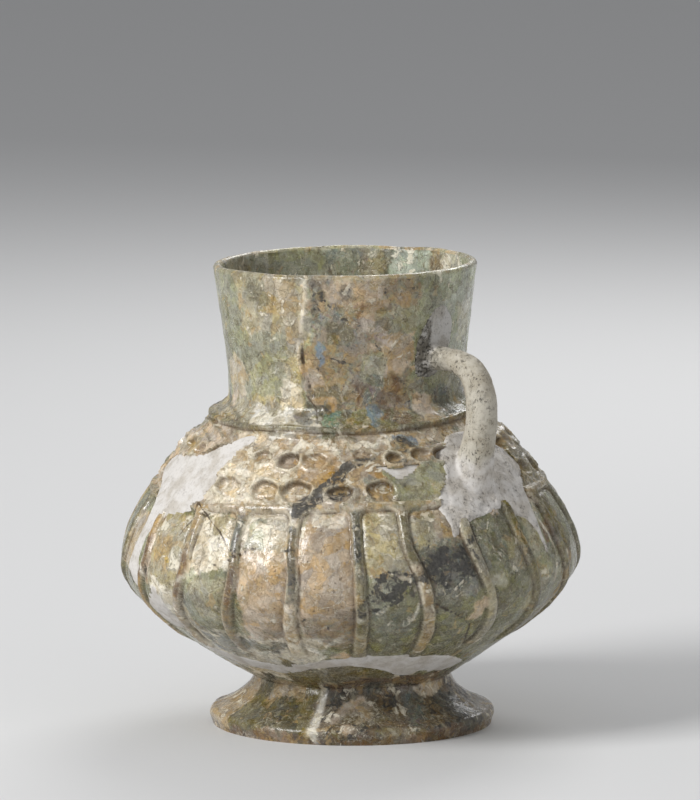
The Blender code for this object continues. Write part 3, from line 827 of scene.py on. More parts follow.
def add_side(shell, outer, inner, row, column, down, facing):
    """Faces between two outer edges and the inner edge behind them, across or down."""
    columns = outer.shape[1]
    right = 1 - down
    a = outer[row, column % columns]
    m = outer[row + down, (column + right) % columns]
    b = outer[row + 2 * down, (column + 2 * right) % columns]
    near = inner[row // 2, column // 2 % inner.shape[1]]
    far = inner[row // 2 + down, (column // 2 + right) % inner.shape[1]]
    order = (a, near, far, b, m) if facing > 0 else (a, m, b, far, near)
    if len(a):
        shell.faces[5].append(np.stack(order, 1))


def lip_rows():
    """The rounded lip, from its inner side over the top to the outer side."""
    turn = np.radians(np.linspace(180, 0, 11)[1:-1])
    middle = RIM[0] - LIP / 2
    return [(middle + LIP / 2 * math.cos(t), RIM[1] + LIP / 2 * math.sin(t)) for t in turn]


def bowl_bottom(shell, outer, inner, angle):
    """Below the lowest matched row: the outer side down to the waist, and the floor inside."""
    start = WALL_LINE.along_at(LOWEST_MATCHED)
    ring = outer
    for along in np.linspace(start, WALL_LINE.length, 10)[1:]:
        places = np.full(len(angle), along)
        radius, height = WALL_LINE.at(places, waist_relief(angle, along))
        paint_place = np.stack([angle, height, 0 * angle + 1], 1)
        next_ring = shell.add(around(angle, radius, height), paint_place)
        shell.strip(ring, next_ring)
        ring = next_ring
    tip = shell.add(np.array([[0, 0, WAIST[1]]]), np.array([[0, WAIST[1], 0]]))
    shell.strip(ring, tip)
    half = angle[::2]
    depth = -wall_thickness(start)
    start_radius, start_height = WALL_LINE.at(start, depth)
    ring = inner
    for share in FLOOR_SHARES:
        height = FLOOR_HEIGHT + (start_height - FLOOR_HEIGHT) * share**5
        next_ring = shell.add(
            around(half, start_radius * share, height + 0 * half),
            np.stack([half, 0 * half + FLOOR_PAINT_HEIGHT, 0 * half], 1),
        )
        shell.strip(next_ring, ring)
        ring = next_ring
    tip = shell.add(np.array([[0, 0, FLOOR_HEIGHT]]), np.array([[0, FLOOR_PAINT_HEIGHT, 0]]))
    shell.strip(tip, ring)


def waist_relief(angle, along):
    """The wear of the wall near the waist, the same for the bowl and the foot there."""
    place = around(angle, *WALL_LINE.at(np.full(len(angle), along)))
    return 0.16 * noise(place, 24.0, 11, 2) + 0.07 * noise(place, 6.0, 12, 3)


def foot_piece(name, columns, row_step):
    """The foot below the waist: its upper side, edge, rest and hollow."""
    shell = Shell()
    angle = np.arange(columns) * 360 / columns - 180
    rows = round(FOOT_LINE.length / row_step)
    along = np.linspace(0, FOOT_LINE.length, rows + 1)
    many_along, many_angle = np.meshgrid(along, angle, indexing="ij")
    flat_along, flat_angle = many_along.ravel(), many_angle.ravel()
    radius, height = FOOT_LINE.at(flat_along)
    place = around(flat_angle, radius, height)
    relief = 0.22 * noise(place, 12.0, 81, 3) + 0.08 * noise(place, 3.0, 82, 3) - 0.2
    crack = crack_depth(flat_angle, height, place)
    relief -= 0.5 * crack
    waist = waist_relief(flat_angle, WALL_LINE.length)
    near_waist = smooth(flat_along / 5)
    resting = smooth(height / 1.2)
    relief = (waist * (1 - near_waist) + relief * near_waist) * resting
    radius, height = FOOT_LINE.at(flat_along, relief)
    height = np.maximum(height, 0)
    side = np.ones(len(height))
    outer = shell.add(
        around(flat_angle, radius, height), np.stack([flat_angle, height, side], 1)
    ).reshape(rows + 1, columns)
    facts = {"crack": crack_depth(flat_angle, height, place)}
    top = shell.add(np.array([[0, 0, WAIST[1] - FOOT_SEAM]]), np.array([[0, WAIST[1], 0.0]]))
    shell.points[0][:columns, 2] -= FOOT_SEAM
    shell.strip(top, outer[0])
    for row in range(rows):
        shell.strip(outer[row], outer[row + 1])
    ring = outer[-1]
    for radius, height in FOOT_HOLLOW:
        next_ring = shell.add(
            around(angle, radius, height + 0 * angle),
            np.stack([angle, 0 * angle + HOLLOW_PAINT_HEIGHT, 0 * angle], 1),
        )
        shell.strip(ring, next_ring)
        ring = next_ring
    tip = shell.add(np.array([[0, 0, FOOT_HOLLOW_TOP]]), np.array([[0, HOLLOW_PAINT_HEIGHT, 0.0]]))
    shell.strip(ring, tip)
    return finished_glass(name, shell, facts, len(outer.ravel()))


def placed(name, data):
    """A new object in the scene with this mesh, light or camera."""
    obj = bpy.data.objects.new(name, data)
    bpy.context.scene.collection.objects.link(obj)
    return obj


def vertex_vectors(mesh, key):
    """The places or normals of all the points of a mesh, as rows."""
    values = np.empty(len(mesh.vertices) * 3)
    mesh.vertices.foreach_get(key, values)
    return values.reshape(-1, 3)


def finished_glass(name, shell, facts, outer_count):
    """The object of a piece of the wall, painted; facts are those of its first, outer points."""
    points = np.concatenate(shell.points)
    paint_places = np.concatenate(shell.paint_places)
    mesh, used = mesh_of(name, settled(points), shell.faces)
    shaded(mesh)
    full = {}
    for key, values in facts.items():
        whole = np.zeros(len(points))
        whole[:outer_count] = values
        full[key] = whole[used]
    paint_glass(mesh, points[used], paint_places[used], full)
    obj = placed(name, mesh)
    mesh.materials.append(glass_material())
    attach(obj, "root")
    return obj


def patch_solid(name, proud, step):
    """Points and faces of one closed piece of plaster that lies in a hole of the wall."""
    outline = np.array(PATCHES[name])
    heights = level_heights(outline[:, 1])
    start, end = WALL_LINE.along_at(heights.max()) - 3, WALL_LINE.along_at(heights.min()) + 3
    end = min(end, WALL_LINE.length - 0.5)
    middle_radius = WALL_LINE.at((start + end) / 2)[0]
    margin = math.degrees(3 / middle_radius)
    left, right = outline[:, 0].min() - margin, outline[:, 0].max() + margin
    rows = round((end - start) / step)
    columns = round(math.radians(right - left) * middle_radius / step)
    along, angle = np.meshgrid(
        np.linspace(start, end, rows + 1), np.linspace(left, right, columns + 1), indexing="ij"
    )
    flat_along, flat_angle = along.ravel(), angle.ravel()
    distance = plaster_distance(flat_angle, flat_along, (name,))
    place = around(flat_angle, *WALL_LINE.at(flat_along))
    rise = smooth((0.9 - distance) / 1.9)
    swell = 0.18 * noise(place, 9.0, 91, 2) + 0.09 * noise(place, 2.2, 92, 2)
    swell += proud * 0.7 * (smooth((noise(place, 8.0, 93, 2) - 0.0) / 0.09) - 0.5)
    out = -0.9 + (proud + 0.9 + swell) * rise
    back = -WALL + 0.8 - (1.05 - swell) * rise
    front = around(flat_angle, *WALL_LINE.at(flat_along, out))
    behind = around(flat_angle, *WALL_LINE.at(flat_along, np.minimum(back, out - 0.2)))
    middles = [(g[:-1, :-1] + g[1:, 1:]) / 2 for g in (angle, along)]
    kept = plaster_distance(middles[0].ravel(), middles[1].ravel(), (name,))
    kept = (kept < PATCH_REACH).reshape(rows, columns)
    index = np.arange(len(front)).reshape(along.shape)
    count = len(front)
    a, b = index[:-1, :-1][kept], index[1:, :-1][kept]
    c, d = index[1:, 1:][kept], index[:-1, 1:][kept]
    quads = [np.stack([a, b, c, d], 1), np.stack([d, c, b, a], 1) + count]
    padded = np.pad(kept, 1)
    for row_step, column_step in ((1, 0), (-1, 0), (0, 1), (0, -1)):
        neighbour = np.roll(padded, (-row_step, -column_step), (0, 1))[1:-1, 1:-1]
        row, column = np.nonzero(kept & ~neighbour)
        if row_step:
            edge_row = row + (row_step > 0)
            first, second = index[edge_row, column], index[edge_row, column + 1]
            turned = row_step > 0
        else:
            edge_column = column + (column_step > 0)
            first, second = index[row, edge_column], index[row + 1, edge_column]
            turned = column_step < 0
        if turned:
            quads.append(np.stack([second, first, first + count, second + count], 1))
        else:
            quads.append(np.stack([first, second, second + count, first + count], 1))
    return np.concatenate([front, behind]), {4: quads}


def plaster_piece(name, mesh, node):
    """The painted object of the plaster that stands for a CAD node."""
    obj = placed(name, mesh)
    paint_plaster(mesh, node)
    mesh.materials.clear()
    mesh.materials.append(plaster_material())
    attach(obj, "root")
    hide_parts(node)
    return obj


def paint_plaster(mesh, node):
    """Writes where the plaster is rod or patch and how speckled it is, for the material."""
    place = vertex_vectors(mesh, "co") / MM
    radius = np.hypot(place[:, 0], place[:, 1])
    angle = np.degrees(np.arctan2(place[:, 0], -place[:, 1]))
    wall_radius, _ = WALL_LINE.at(WALL_LINE.along_at(place[:, 2]))
    handle = 1.0 if node == "plaster_handle" else 0.0
    ragged = 1.6 * noise(place, 5.0, 104, 2)
    rod = handle * smooth((radius - wall_radius - 1.0) / 2.0)
    rod *= 1 - smooth((100.5 + ragged - place[:, 2]) / 5) * smooth((116 - place[:, 2]) / 4)
    on_neck = handle * smooth((place[:, 2] - 116) / 4)
    patch = on_neck * (1 - rod)
    left = smooth((42.5 - angle) / 3)
    low = smooth((131 - place[:, 2]) / 3)
    worn = patch * np.maximum(left, 0.7 * low) + on_neck * rod * bump((radius - 45) / 5) * 0.7
    under = smooth((45 - angle) / 6)
    speckle = 0.2 + rod * (0.45 + 0.35 * under) + 0.45 * handle * (1 - rod)
    store_value(mesh, "rod", rod)
    store_value(mesh, "worn", np.clip(worn, 0, 1))
    store_value(mesh, "grey", 0.75 * patch)
    store_value(mesh, "speckle", np.clip(speckle + worn, 0, 1))


def fill_piece(name):
    """A fill, as plaster that stands a little out of the wall."""
    points, faces = patch_solid(name, FILL_PROUD, PLASTER_STEP)
    mesh, _ = mesh_of(name, settled(points), faces)
    shaded(mesh, 70)
    return plaster_piece(name + "_cast", mesh, name)


def handle_rod():
    """Points and faces of the rod, thicker at both ends, before it is united with its pads."""
    knots = np.array(HANDLE_LINE)
    steps = np.concatenate([[0], np.cumsum(np.linalg.norm(np.diff(knots, axis=0), axis=1))])
    marks = np.linspace(0, steps[-1], ROD_RINGS)
    line = smooth_run(steps, knots, marks)
    radii = smooth_run(steps, np.array(HANDLE_RADII)[:, None], marks)[:, 0]
    way = np.gradient(line, axis=0)
    way /= np.linalg.norm(way, axis=1)[:, None]
    sides = ROD_SIDES
    turn = np.arange(sides) * 2 * math.pi / sides
    across = math.radians(HANDLE_ANGLE)
    points = []
    for (radius, height), (out, up), thick in zip(line, way, radii):
        centre = np.array((radius * math.sin(across), -radius * math.cos(across), height))
        aside = np.array((math.cos(across), math.sin(across), 0.0))
        in_plane = np.array((up * math.sin(across), -up * math.cos(across), -out))
        ring = centre + thick * (np.cos(turn)[:, None] * in_plane + np.sin(turn)[:, None] * aside)
        points.append(ring)
    points.append(points[0].mean(axis=0, keepdims=True))
    points.append(points[-2].mean(axis=0, keepdims=True))
    points = np.concatenate(points)
    rings = np.arange(len(line) * sides).reshape(len(line), sides)
    after = np.roll(rings, -1, axis=1)
    quads = [np.stack([rings[:-1], after[:-1], after[1:], rings[1:]], -1).reshape(-1, 4)]
    first, last = len(line) * sides, len(line) * sides + 1
    caps = [
        np.stack([np.full(sides, first), after[0], rings[0]], 1),
        np.stack([np.full(sides, last), rings[-1], after[-1]], 1),
    ]
    radius = np.hypot(points[:, 0], points[:, 1])
    wall_radius, _ = WALL_LINE.at(WALL_LINE.along_at(points[:, 2]))
    deepest = wall_radius - ROD_DEPTH
    grow = np.where(radius < deepest, deepest / np.maximum(radius, 1e-6), 1.0)
    points[:, :2] *= grow[:, None]
    return points, {3: caps, 4: quads}


def smooth_run(steps, knots, marks):
    """Values on a smooth curve through the knots, at distances along it."""
    slopes = np.gradient(knots, steps, axis=0)
    at = np.clip(np.searchsorted(steps, marks, side="right") - 1, 0, len(steps) - 2)
    width = (steps[at + 1] - steps[at])[:, None]
    t = (marks[:, None] - steps[at][:, None]) / width
    h00, h10 = 2 * t**3 - 3 * t**2 + 1, t**3 - 2 * t**2 + t
    h01, h11 = -2 * t**3 + 3 * t**2, t**3 - t**2
    curve = h00 * knots[at] + h10 * width * slopes[at]
    return curve + h01 * knots[at + 1] + h11 * width * slopes[at + 1]


def handle_piece():
    """The rod and its two pads, united and then worn."""
    points, faces, count = [], {3: [], 4: [], 5: []}, 0
    solids = [
        handle_rod(),
        patch_solid("neck_patch", NECK_PAD_PROUD, PAD_STEP),
        patch_solid("handle_patch", SHOULDER_PAD_PROUD, PAD_STEP),
    ]
    for some_points, some_faces in solids:
        points.append(some_points)
        for size, group in some_faces.items():
            faces[size] += [array + count for array in group]
        count += len(some_points)
    mesh, _ = mesh_of("plaster_handle_cast", np.concatenate(points), faces)
    raw = placed("plaster_handle_raw", mesh)
    unite = raw.modifiers.new("unite", "REMESH")
    unite.mode = "VOXEL"
    unite.voxel_size = ROD_VOXEL * MM
    even = raw.modifiers.new("even", "SMOOTH")
    even.factor = 0.5
    even.iterations = 9
    bpy.context.view_layer.update()
    graph = bpy.context.evaluated_depsgraph_get()
    united = bpy.data.meshes.new_from_object(raw.evaluated_get(graph))
    bpy.data.objects.remove(raw)
    place = vertex_vectors(united, "co") / MM
    normal = vertex_vectors(united, "normal")
    worn = 0.10 * noise(place, 9.0, 101, 2) + 0.07 * noise(place, 2.6, 102, 3)
    worn -= 0.35 * smooth((noise(place, 1.9, 103, 1) - 0.62) / 0.25)
    place = settled(place + normal * (worn - 0.06)[:, None])
    united.vertices.foreach_set("co", (place * MM).ravel())
    united.update()
    united.name = "plaster_handle_cast"
    shaded(united, 80)
    return plaster_piece("plaster_handle_cast", united, "plaster_handle")


def colour_of(red, green, blue):
    """A colour as seen, from 0 to 255, as the light it sends back."""
    seen = np.array((red, green, blue)) / 255
    return np.where(seen <= 0.04045, seen / 12.92, ((seen + 0.055) / 1.055) ** 2.4)


# What covers the wall: its colour as seen, then how much it shows of pale crust, gold stain,
# char, iridescence and clear glass
COVERS = {
    "chalk": ((226, 220, 205), 0.9, 0.05, 0.0, 0.1, 0.0),
    "cream": ((224, 210, 184), 0.9, 0.2, 0.0, 0.1, 0.0),
    "beige": ((210, 191, 160), 0.7, 0.35, 0.05, 0.1, 0.05),
    "fawn": ((170, 148, 119), 0.1, 0.25, 0.03, 0.05, 0.0),
    "rose": ((198, 176, 148), 0.3, 0.35, 0.03, 0.1, 0.0),
    "clay": ((146, 128, 101), 0.12, 0.5, 0.42, 0.45, 0.1),
    "tan": ((172, 150, 116), 0.5, 0.5, 0.15, 0.1, 0.1),
    "ochre": ((170, 138, 90), 0.3, 0.8, 0.05, 0.0, 0.05),
    "rust": ((108, 80, 52), 0.1, 0.4, 0.3, 0.1, 0.1),
    "sand": ((182, 171, 136), 0.35, 0.45, 0.05, 0.1, 0.3),
    "sage": ((172, 173, 140), 0.12, 0.2, 0.02, 0.2, 0.65),
    "glass": ((160, 158, 116), 0.18, 0.25, 0.03, 0.2, 0.8),
    "olive": ((124, 114, 70), 0.15, 0.4, 0.15, 0.15, 0.5),
    "slate": ((112, 114, 104), 0.3, 0.15, 0.3, 0.5, 0.3),
    "verdigris": ((104, 132, 108), 0.2, 0.2, 0.2, 0.8, 0.2),
    "blue": ((116, 134, 150), 0.2, 0.0, 0.1, 0.5, 0.2),
    "smoke": ((80, 76, 64), 0.2, 0.15, 0.6, 0.2, 0.1),
    "soot": ((52, 48, 42), 0.05, 0.0, 1.3, 0.1, 0.0),
    "earth": ((118, 102, 78), 0.45, 0.4, 0.6, 0.2, 0.2),
    "mint": ((204, 214, 190), 0.5, 0.0, 0.0, 0.2, 0.2),
    "lining": ((186, 190, 162), 0.5, 0.25, 0.1, 0.3, 0.35),
}

COVER_AMOUNTS = ("crust", "gold", "char", "iris", "glassy")
COVER_VALUES = 3 + len(COVER_AMOUNTS)
PAINT_GAIN = 1.12

# Where the front and the sides show them, painted one over the other: the cover, the least and
# greatest angle, the least and greatest height, and how much of it shows
WALL_PAINT = [
    # Neck, left
    ("sage", -97, -50, 116, 162, 0.95), ("sand", -55, -18, 112, 162, 0.95),
    ("ochre", -42, -22, 148, 159, 0.45), ("ochre", -30, -22, 137, 147, 0.45),
    ("sage", -60, -28, 117, 140, 0.7), ("glass", -50, -38, 150, 161, 0.5),
    ("rose", -74, -56, 115, 128, 0.6), ("cream", -34, -20, 114, 124, 0.7),
    ("glass", -84, -66, 126, 150, 0.6),
    # Neck, middle
    ("clay", -17, 33, 116, 162, 0.95), ("smoke", -16, -9, 151, 159, 0.6),
    ("rose", -8, 16, 150, 160, 0.5), ("smoke", -3, 2, 151, 157, 0.55),
    ("slate", -16, -11, 140, 151, 0.7), ("blue", -13.5, -9.5, 133, 139, 0.8),
    ("olive", -8, 2, 137, 145, 0.75), ("slate", -4, -1, 145, 149, 0.8),
    ("rust", 4, 8, 147, 152, 0.7), ("rose", 8, 20, 140, 150, 0.6),
    ("olive", 15, 20, 142, 151, 0.6), ("sage", 20, 32, 138, 152, 0.6),
    ("ochre", 22, 27, 150, 157, 0.6), ("rose", 12, 34, 126, 140, 0.75),
    ("sage", 4, 16, 122, 134, 0.6), ("rose", -17, -10, 121, 132, 0.6),
    ("olive", -14, -2, 112, 125, 0.6), ("rust", 20, 27, 119, 125, 0.8),
    ("rust", 2.5, 6.5, 119, 125, 0.8), ("slate", 8, 15, 117, 126, 0.8),
    ("olive", -18, 35, 107, 115, 0.7), ("verdigris", -11, -3, 109, 115, 0.8),
    ("blue", 11, 15, 110, 116, 0.75), ("rust", 15.5, 19, 112, 122, 0.75),
    ("ochre", -13, -7, 114, 118, 0.9), ("rust", 21, 28, 109, 117, 0.75),
    # Neck, right
    ("sage", 32, 97, 118, 162, 0.95), ("rose", 61, 76, 135, 148, 0.75),
    ("mint", 45, 97, 127, 162, 0.5), ("olive", 52, 92, 109, 126, 0.5), ("rose", 34, 45, 110, 119, 0.85),
    ("slate", 47, 58, 108, 120, 0.7), ("clay", 28, 40, 119, 126, 0.6),
    # Root of the neck
    ("sand", -97, -45, 103, 113, 0.8), ("chalk", -47, -12, 104.5, 112.5, 0.95),
    ("smoke", -21, -11, 110, 116, 0.7), ("tan", -9, 62, 105.8, 110, 0.85),
    # Shoulder
    ("tan", -62, 47, 84, 105, 0.95), ("beige", -48, -6, 84, 105.5, 0.95),
    ("blue", 15, 27, 102.5, 106.5, 0.8), ("chalk", 8, 18, 103, 107, 0.6),
    ("clay", -6, 14, 97, 105, 0.6), ("ochre", -27, -10, 101, 104.5, 0.7),
    ("rust", -24.5, -17.5, 95.5, 100, 0.65), ("ochre", -17, -4, 91, 100.5, 0.9),
    ("tan", -35, -28, 96.6, 100.4, 0.7), ("cream", -47, -26, 86.5, 96, 0.75),
    ("cream", -26, -13, 85.5, 90, 0.75), ("rust", 1, 14, 90.5, 96, 0.45),
    ("clay", 15, 46, 97.5, 104, 0.9), ("smoke", 19, 24, 101, 105.6, 0.8),
    ("smoke", 26, 40, 94, 99, 0.65), ("sage", 14, 35, 84.5, 96, 0.9),
    ("slate", 5, 14, 86, 91, 0.7), ("sand", 24, 36, 86, 92, 0.6),
    ("rose", -97, -58, 85, 106, 0.95), ("sand", -97, -66, 96, 100, 0.6),
    ("olive", 60, 105, 84, 109, 0.8), ("beige", 64, 105, 98, 106, 0.6),
    # Panels, left
    ("sage", -97, -64, 40, 84, 0.95), ("rose", -80, -69, 58, 77, 0.8),
    ("sand", -61, -48, 40, 82, 0.95), ("ochre", -59, -52, 60, 72, 0.4),
    ("chalk", -61, -51, 42, 56, 0.75), ("cream", -46, -30, 64, 83, 0.95),
    ("sand", -41, -34, 76, 82, 0.7), ("sage", -47, -31, 42, 64, 0.95),
    ("sand", -44, -32, 46, 61, 0.65), ("olive", -49, -35, 36, 44, 0.6),
    ("cream", -29.5, -14, 71, 83, 0.95), ("sage", -28, -23, 70, 79, 0.75),
    ("rose", -29.5, -14, 38, 71, 0.98), ("ochre", -26, -16, 54, 66, 0.5),
    ("ochre", -24, -14, 44, 52, 0.35), ("clay", -28, -20, 38, 45, 0.5),
    # Panels, middle
    ("fawn", -12.5, 2.5, 40, 83, 0.98), ("cream", -11, 0.5, 79, 82.6, 0.6),
    ("clay", -12, 3, 37, 48, 0.7), ("sand", 3.5, 16, 64, 83, 0.95),
    ("cream", 6, 15, 70, 80, 0.2), ("glass", 4, 17, 34, 51, 0.9),
    ("slate", 5, 16, 42, 52, 0.5), ("tan", 17, 33, 71, 84, 0.9),
    ("sage", 17, 24, 70, 82, 0.5), ("slate", 18, 34, 54, 72, 0.85),
    ("smoke", 20, 31, 58, 70, 0.7), ("glass", 19, 36, 34, 54, 0.95),
    # Panels, right
    ("glass", 34, 51, 40, 82, 0.95), ("slate", 35, 43, 64, 80, 0.5),
    ("sand", 43, 51, 62, 73, 0.7), ("chalk", 37, 42, 55, 60, 0.4), ("olive", 38, 48, 46, 52, 0.5),
    ("rose", 33, 38, 44, 53, 0.9), ("sage", 51, 68, 40, 80, 0.9), ("sand", 53, 58, 66, 78, 0.6),
    ("olive", 66, 105, 26, 86, 0.85), ("rust", 61, 67, 66, 73, 0.9), ("sand", 52, 60, 44, 60, 0.6),
    ("glass", 44, 50, 38, 46, 0.7), ("ochre", 69, 74, 52, 64, 0.6), ("sage", 74, 84, 50, 78, 0.7),
    # Under the bowl
    ("glass", 4, 66, 25, 40, 0.9), ("chalk", -80, -8, 26, 40, 0.8),
    ("sage", -97, -58, 24, 50, 0.85), ("slate", -52, -20, 33, 38, 0.7),
    ("olive", -30, 23, 18, 29, 0.92), ("sand", -97, -58, 16, 25, 0.7),
    # Foot
    ("tan", -97, -58, 3, 18, 0.9), ("olive", -62, -17, 3.5, 18.2, 0.9),
    ("smoke", -50, -24, 5, 13, 0.45), ("rose", -46, -30, 12, 18, 0.6),
    ("smoke", -42, -24, 3.5, 9, 0.5), ("earth", -17, 97, 4, 19.5, 0.95),
    ("soot", -16, -10, 14, 20, 0.8), ("smoke", -11, 3, 12, 18, 0.7),
    ("rose", -6, 12, 7, 13, 0.7), ("olive", 2, 20, 5, 11, 0.4),
    ("smoke", 8, 18, 13, 19, 0.7), ("slate", 25, 40, 7, 16, 0.9),
    ("beige", 38, 58, 12, 19, 0.75), ("smoke", 46, 70, 3, 12, 0.85),
    ("rust", -22, 60, 18.6, 21.5, 0.9), ("rust", -180, 180, -1, 3.4, 0.7),
]  # fmt: skip

# Covers of the mouth's inner side, as (cover, least and greatest angle, amount)
MOUTH_PAINT = [
    ("glass", -168, -137, 0.7), ("slate", 172, 190, 0.6), ("clay", 158, 176, 0.6),
    ("slate", 155, 161, 0.8), ("mint", 137, 155, 0.95), ("tan", 130, 136, 0.8),
    ("chalk", 112, 130, 0.5), ("tan", -128, -108, 0.5),
]  # fmt: skip
MOUTH_HEIGHTS = (136, 166)
MOUTH_SEAM_ANGLE = -139.5

# Cracked and burnt runs of (angle, height), with their half width in millimetres and strength
CHAR_RUNS = [
    (3.6, 0.85, [(-15, 83.5), (-11, 86.5), (-7, 89.5), (-3, 93.5)]),
    (1.1, 1.3, [(-15.5, 84.2), (-11.5, 88), (-7.5, 91.5), (-3, 94.8)]),
    (0.9, 1.3, [(-13.5, 83), (-9, 86), (-4.5, 90), (-1, 93.5)]),
    (3.4, 0.85, [(-9, 87.3), (-4, 88), (1, 88.6)]),
    (2.4, 0.95, [(-4, 93), (0, 96.2), (4, 98), (9, 98.6)]),
    (1.0, 1.0, [(8, 98.6), (16, 97.8), (26, 97.2)]),
    (7.0, 0.85, [(8, 58), (12, 59.5)]),
    (1.2, 1.3, [(4, 53), (8, 57), (13, 60.5), (18, 63)]),
    (1.2, 1.3, [(5, 61.5), (10, 64), (14, 63.5)]),
    (4.5, 1.2, [(9, 55.5), (14, 60)]),
    (1.8, 1.3, [(13, 58.5), (17, 61.5), (20, 63.5)]),
    (7.5, 0.78, [(21, 61), (26, 62), (30, 64)]),
    (1.3, 1.25, [(18, 66), (21, 68.5), (25, 67), (29, 69)]),
    (3.0, 1.2, [(18.5, 62), (22, 66), (24, 69)]),
    (2.4, 1.0, [(26, 66), (30, 69.5), (34, 73)]),
    (1.3, 1.3, [(1, 50.5), (3.5, 54), (5.5, 58), (8, 62.5)]),
    (2.0, 1.3, [(3, 50), (8, 52), (13, 55.5), (17, 60.5), (21, 66), (25, 70)]),
    (2.2, 1.3, [(14, 63), (18, 62), (22, 63)]),
    (1.1, 1.0, [(17, 61), (19.5, 67), (21, 73)]),
    (0.8, 1.0, [(-25, 71.2), (-21, 72.4), (-15.5, 71)]),
    (0.8, 1.0, [(-31, 70), (-28.5, 71.4), (-25, 72)]),
]

# Pale runs of (angle, height): glue and chalk along joins
PALE_RUNS = [
    [(-54, 55), (-49, 58), (-43, 61.5), (-37, 64.5), (-33, 66.5)],
    [(-15, 31), (-10, 34.5), (-6, 38.5), (-2, 41.5)],
    [(2, 47.5), (6, 49.5), (9, 51.5)],
    [(-17, 19), (-17.6, 14), (-17.2, 9), (-15.5, 4)],
    [(-66, 77), (-64, 67), (-63.5, 58)],
    [(60, 78), (63, 70), (64, 62), (63, 54)],
    [(16.5, 47), (18, 54), (17, 60)],
    [(104, 66), (118, 60), (131, 47), (146, 40)],
    [(-112, 96), (-104, 84), (-110, 70)],
]

# Covers of the ribs, as (steps to the right of the middle rib, least and greatest height)
RIB_PAINT = [
    (-4, 20, 90, "ochre"), (-4, 56, 72, "rust"), (-3, 20, 90, "tan"), (-3, 52, 70, "rust"),
    (-3, 66, 82, "clay"), (-2, 20, 90, "clay"), (-2, 50, 68, "rust"), (-2, 70, 81, "slate"),
    (-1, 20, 90, "beige"), (-1, 53, 82, "smoke"), (-1, 76, 80, "soot"), (0, 20, 90, "olive"),
    (0, 60, 82, "smoke"), (0, 20, 42, "sand"), (1, 20, 90, "tan"), (1, 66, 82, "olive"),
    (2, 20, 90, "sand"), (3, 20, 90, "olive"), (4, 20, 90, "olive"), (5, 20, 90, "glass"),
    (6, 20, 90, "tan"), (7, 20, 90, "olive"), (8, 20, 90, "smoke"), (9, 20, 90, "sand"),
    (10, 20, 90, "clay"), (11, 20, 90, "olive"), (12, 20, 90, "tan"), (13, 20, 90, "smoke"),
    (14, 20, 90, "olive"), (15, 20, 90, "sand"), (16, 20, 90, "tan"), (17, 20, 90, "olive"),
]  # fmt: skip

# Sides that the photograph doesn't show: the height where each zone starts, and its covers as
# (cover, size of its islands in millimetres, share of it)
UNSEEN_ZONES = [
    (-9, (("olive", 9, 1.0), ("earth", 13, 0.5), ("smoke", 8, 0.25), ("tan", 10, 0.3))),
    (17, (("sage", 9, 1.0), ("sand", 17, 0.5), ("rose", 24, 0.45), ("glass", 15, 0.4),
          ("cream", 13, 0.25), ("smoke", 11, 0.12))),
    (83.5, (("beige", 9, 1.0), ("tan", 14, 0.45), ("sage", 18, 0.35), ("cream", 9, 0.3),
            ("ochre", 8, 0.2), ("smoke", 8, 0.12))),
    (107, (("sage", 9, 1.0), ("sand", 19, 0.5), ("glass", 15, 0.35), ("rose", 13, 0.25),
           ("ochre", 9, 0.12), ("slate", 8, 0.15))),
]  # fmt: skip


def cover(name):
    """A cover as the light it sends back and its five amounts."""
    seen, *amounts = COVERS[name]
    return np.array([*colour_of(*seen), *amounts])


def soft_box(angle, height, radius, box, soft=0.8):
    """1 within the angles and heights, 0 outside, with round corners."""
    left, right, bottom, top = box
    half = math.radians((right - left) / 2) * radius
    across = np.radians(np.abs(turn_between(angle, (left + right) / 2))) * radius - half
    up = np.abs(height - (bottom + top) / 2) - (top - bottom) / 2
    size = min(top - bottom, (right - left) * 1.2)
    round_corner = min(2.0, size * 0.35)
    beyond = np.hypot(np.maximum(across + round_corner, 0), np.maximum(up + round_corner, 0))
    beyond = beyond + np.minimum(np.maximum(across, up) + round_corner, 0) - round_corner
    return smooth(0.5 - beyond / soft)


def warped(points, angle, height, radius):
    """The angles and heights moved a few millimetres, which makes straight edges ragged."""
    moved = [
        2.2 * noise(points, 12.0, seed, 2) + 1.9 * noise(points, 4.6, seed + 1, 2)
        + 0.9 * noise(points, 1.7, seed + 2, 2)
        for seed in (211, 231)
    ]
    on_panels = smooth((height - 34) / 4) * smooth((84 - height) / 4)
    across = moved[0] * (1 - 0.5 * on_panels)
    return angle + np.degrees(across / radius), height + moved[1]


def covered(state, mask, name):
    """The state with a cover laid over it as far as the mask says."""
    mask = mask[:, None]
    return state * (1 - mask) + cover(name) * mask


def unseen_state(points, height):
    """Islands of the covers that belong to each zone of the vase."""
    uneven = height + 1.2 * noise(points, 9.0, 200, 2)
    state = np.zeros((len(points), COVER_VALUES))
    for zone, (start, covers) in enumerate(UNSEEN_ZONES):
        made = np.zeros((len(points), COVER_VALUES)) + cover(covers[0][0])
        for index, (name, size, share) in enumerate(covers[1:]):
            level = 0.75 - 1.5 * share
            islands = noise(points, size, 201 + 7 * zone + index, 4)
            made = covered(made, smooth((islands - level) / 0.14), name)
        inside = smooth((uneven - start) / 1.2)[:, None]
        state = state * (1 - inside) + made * inside
    return state


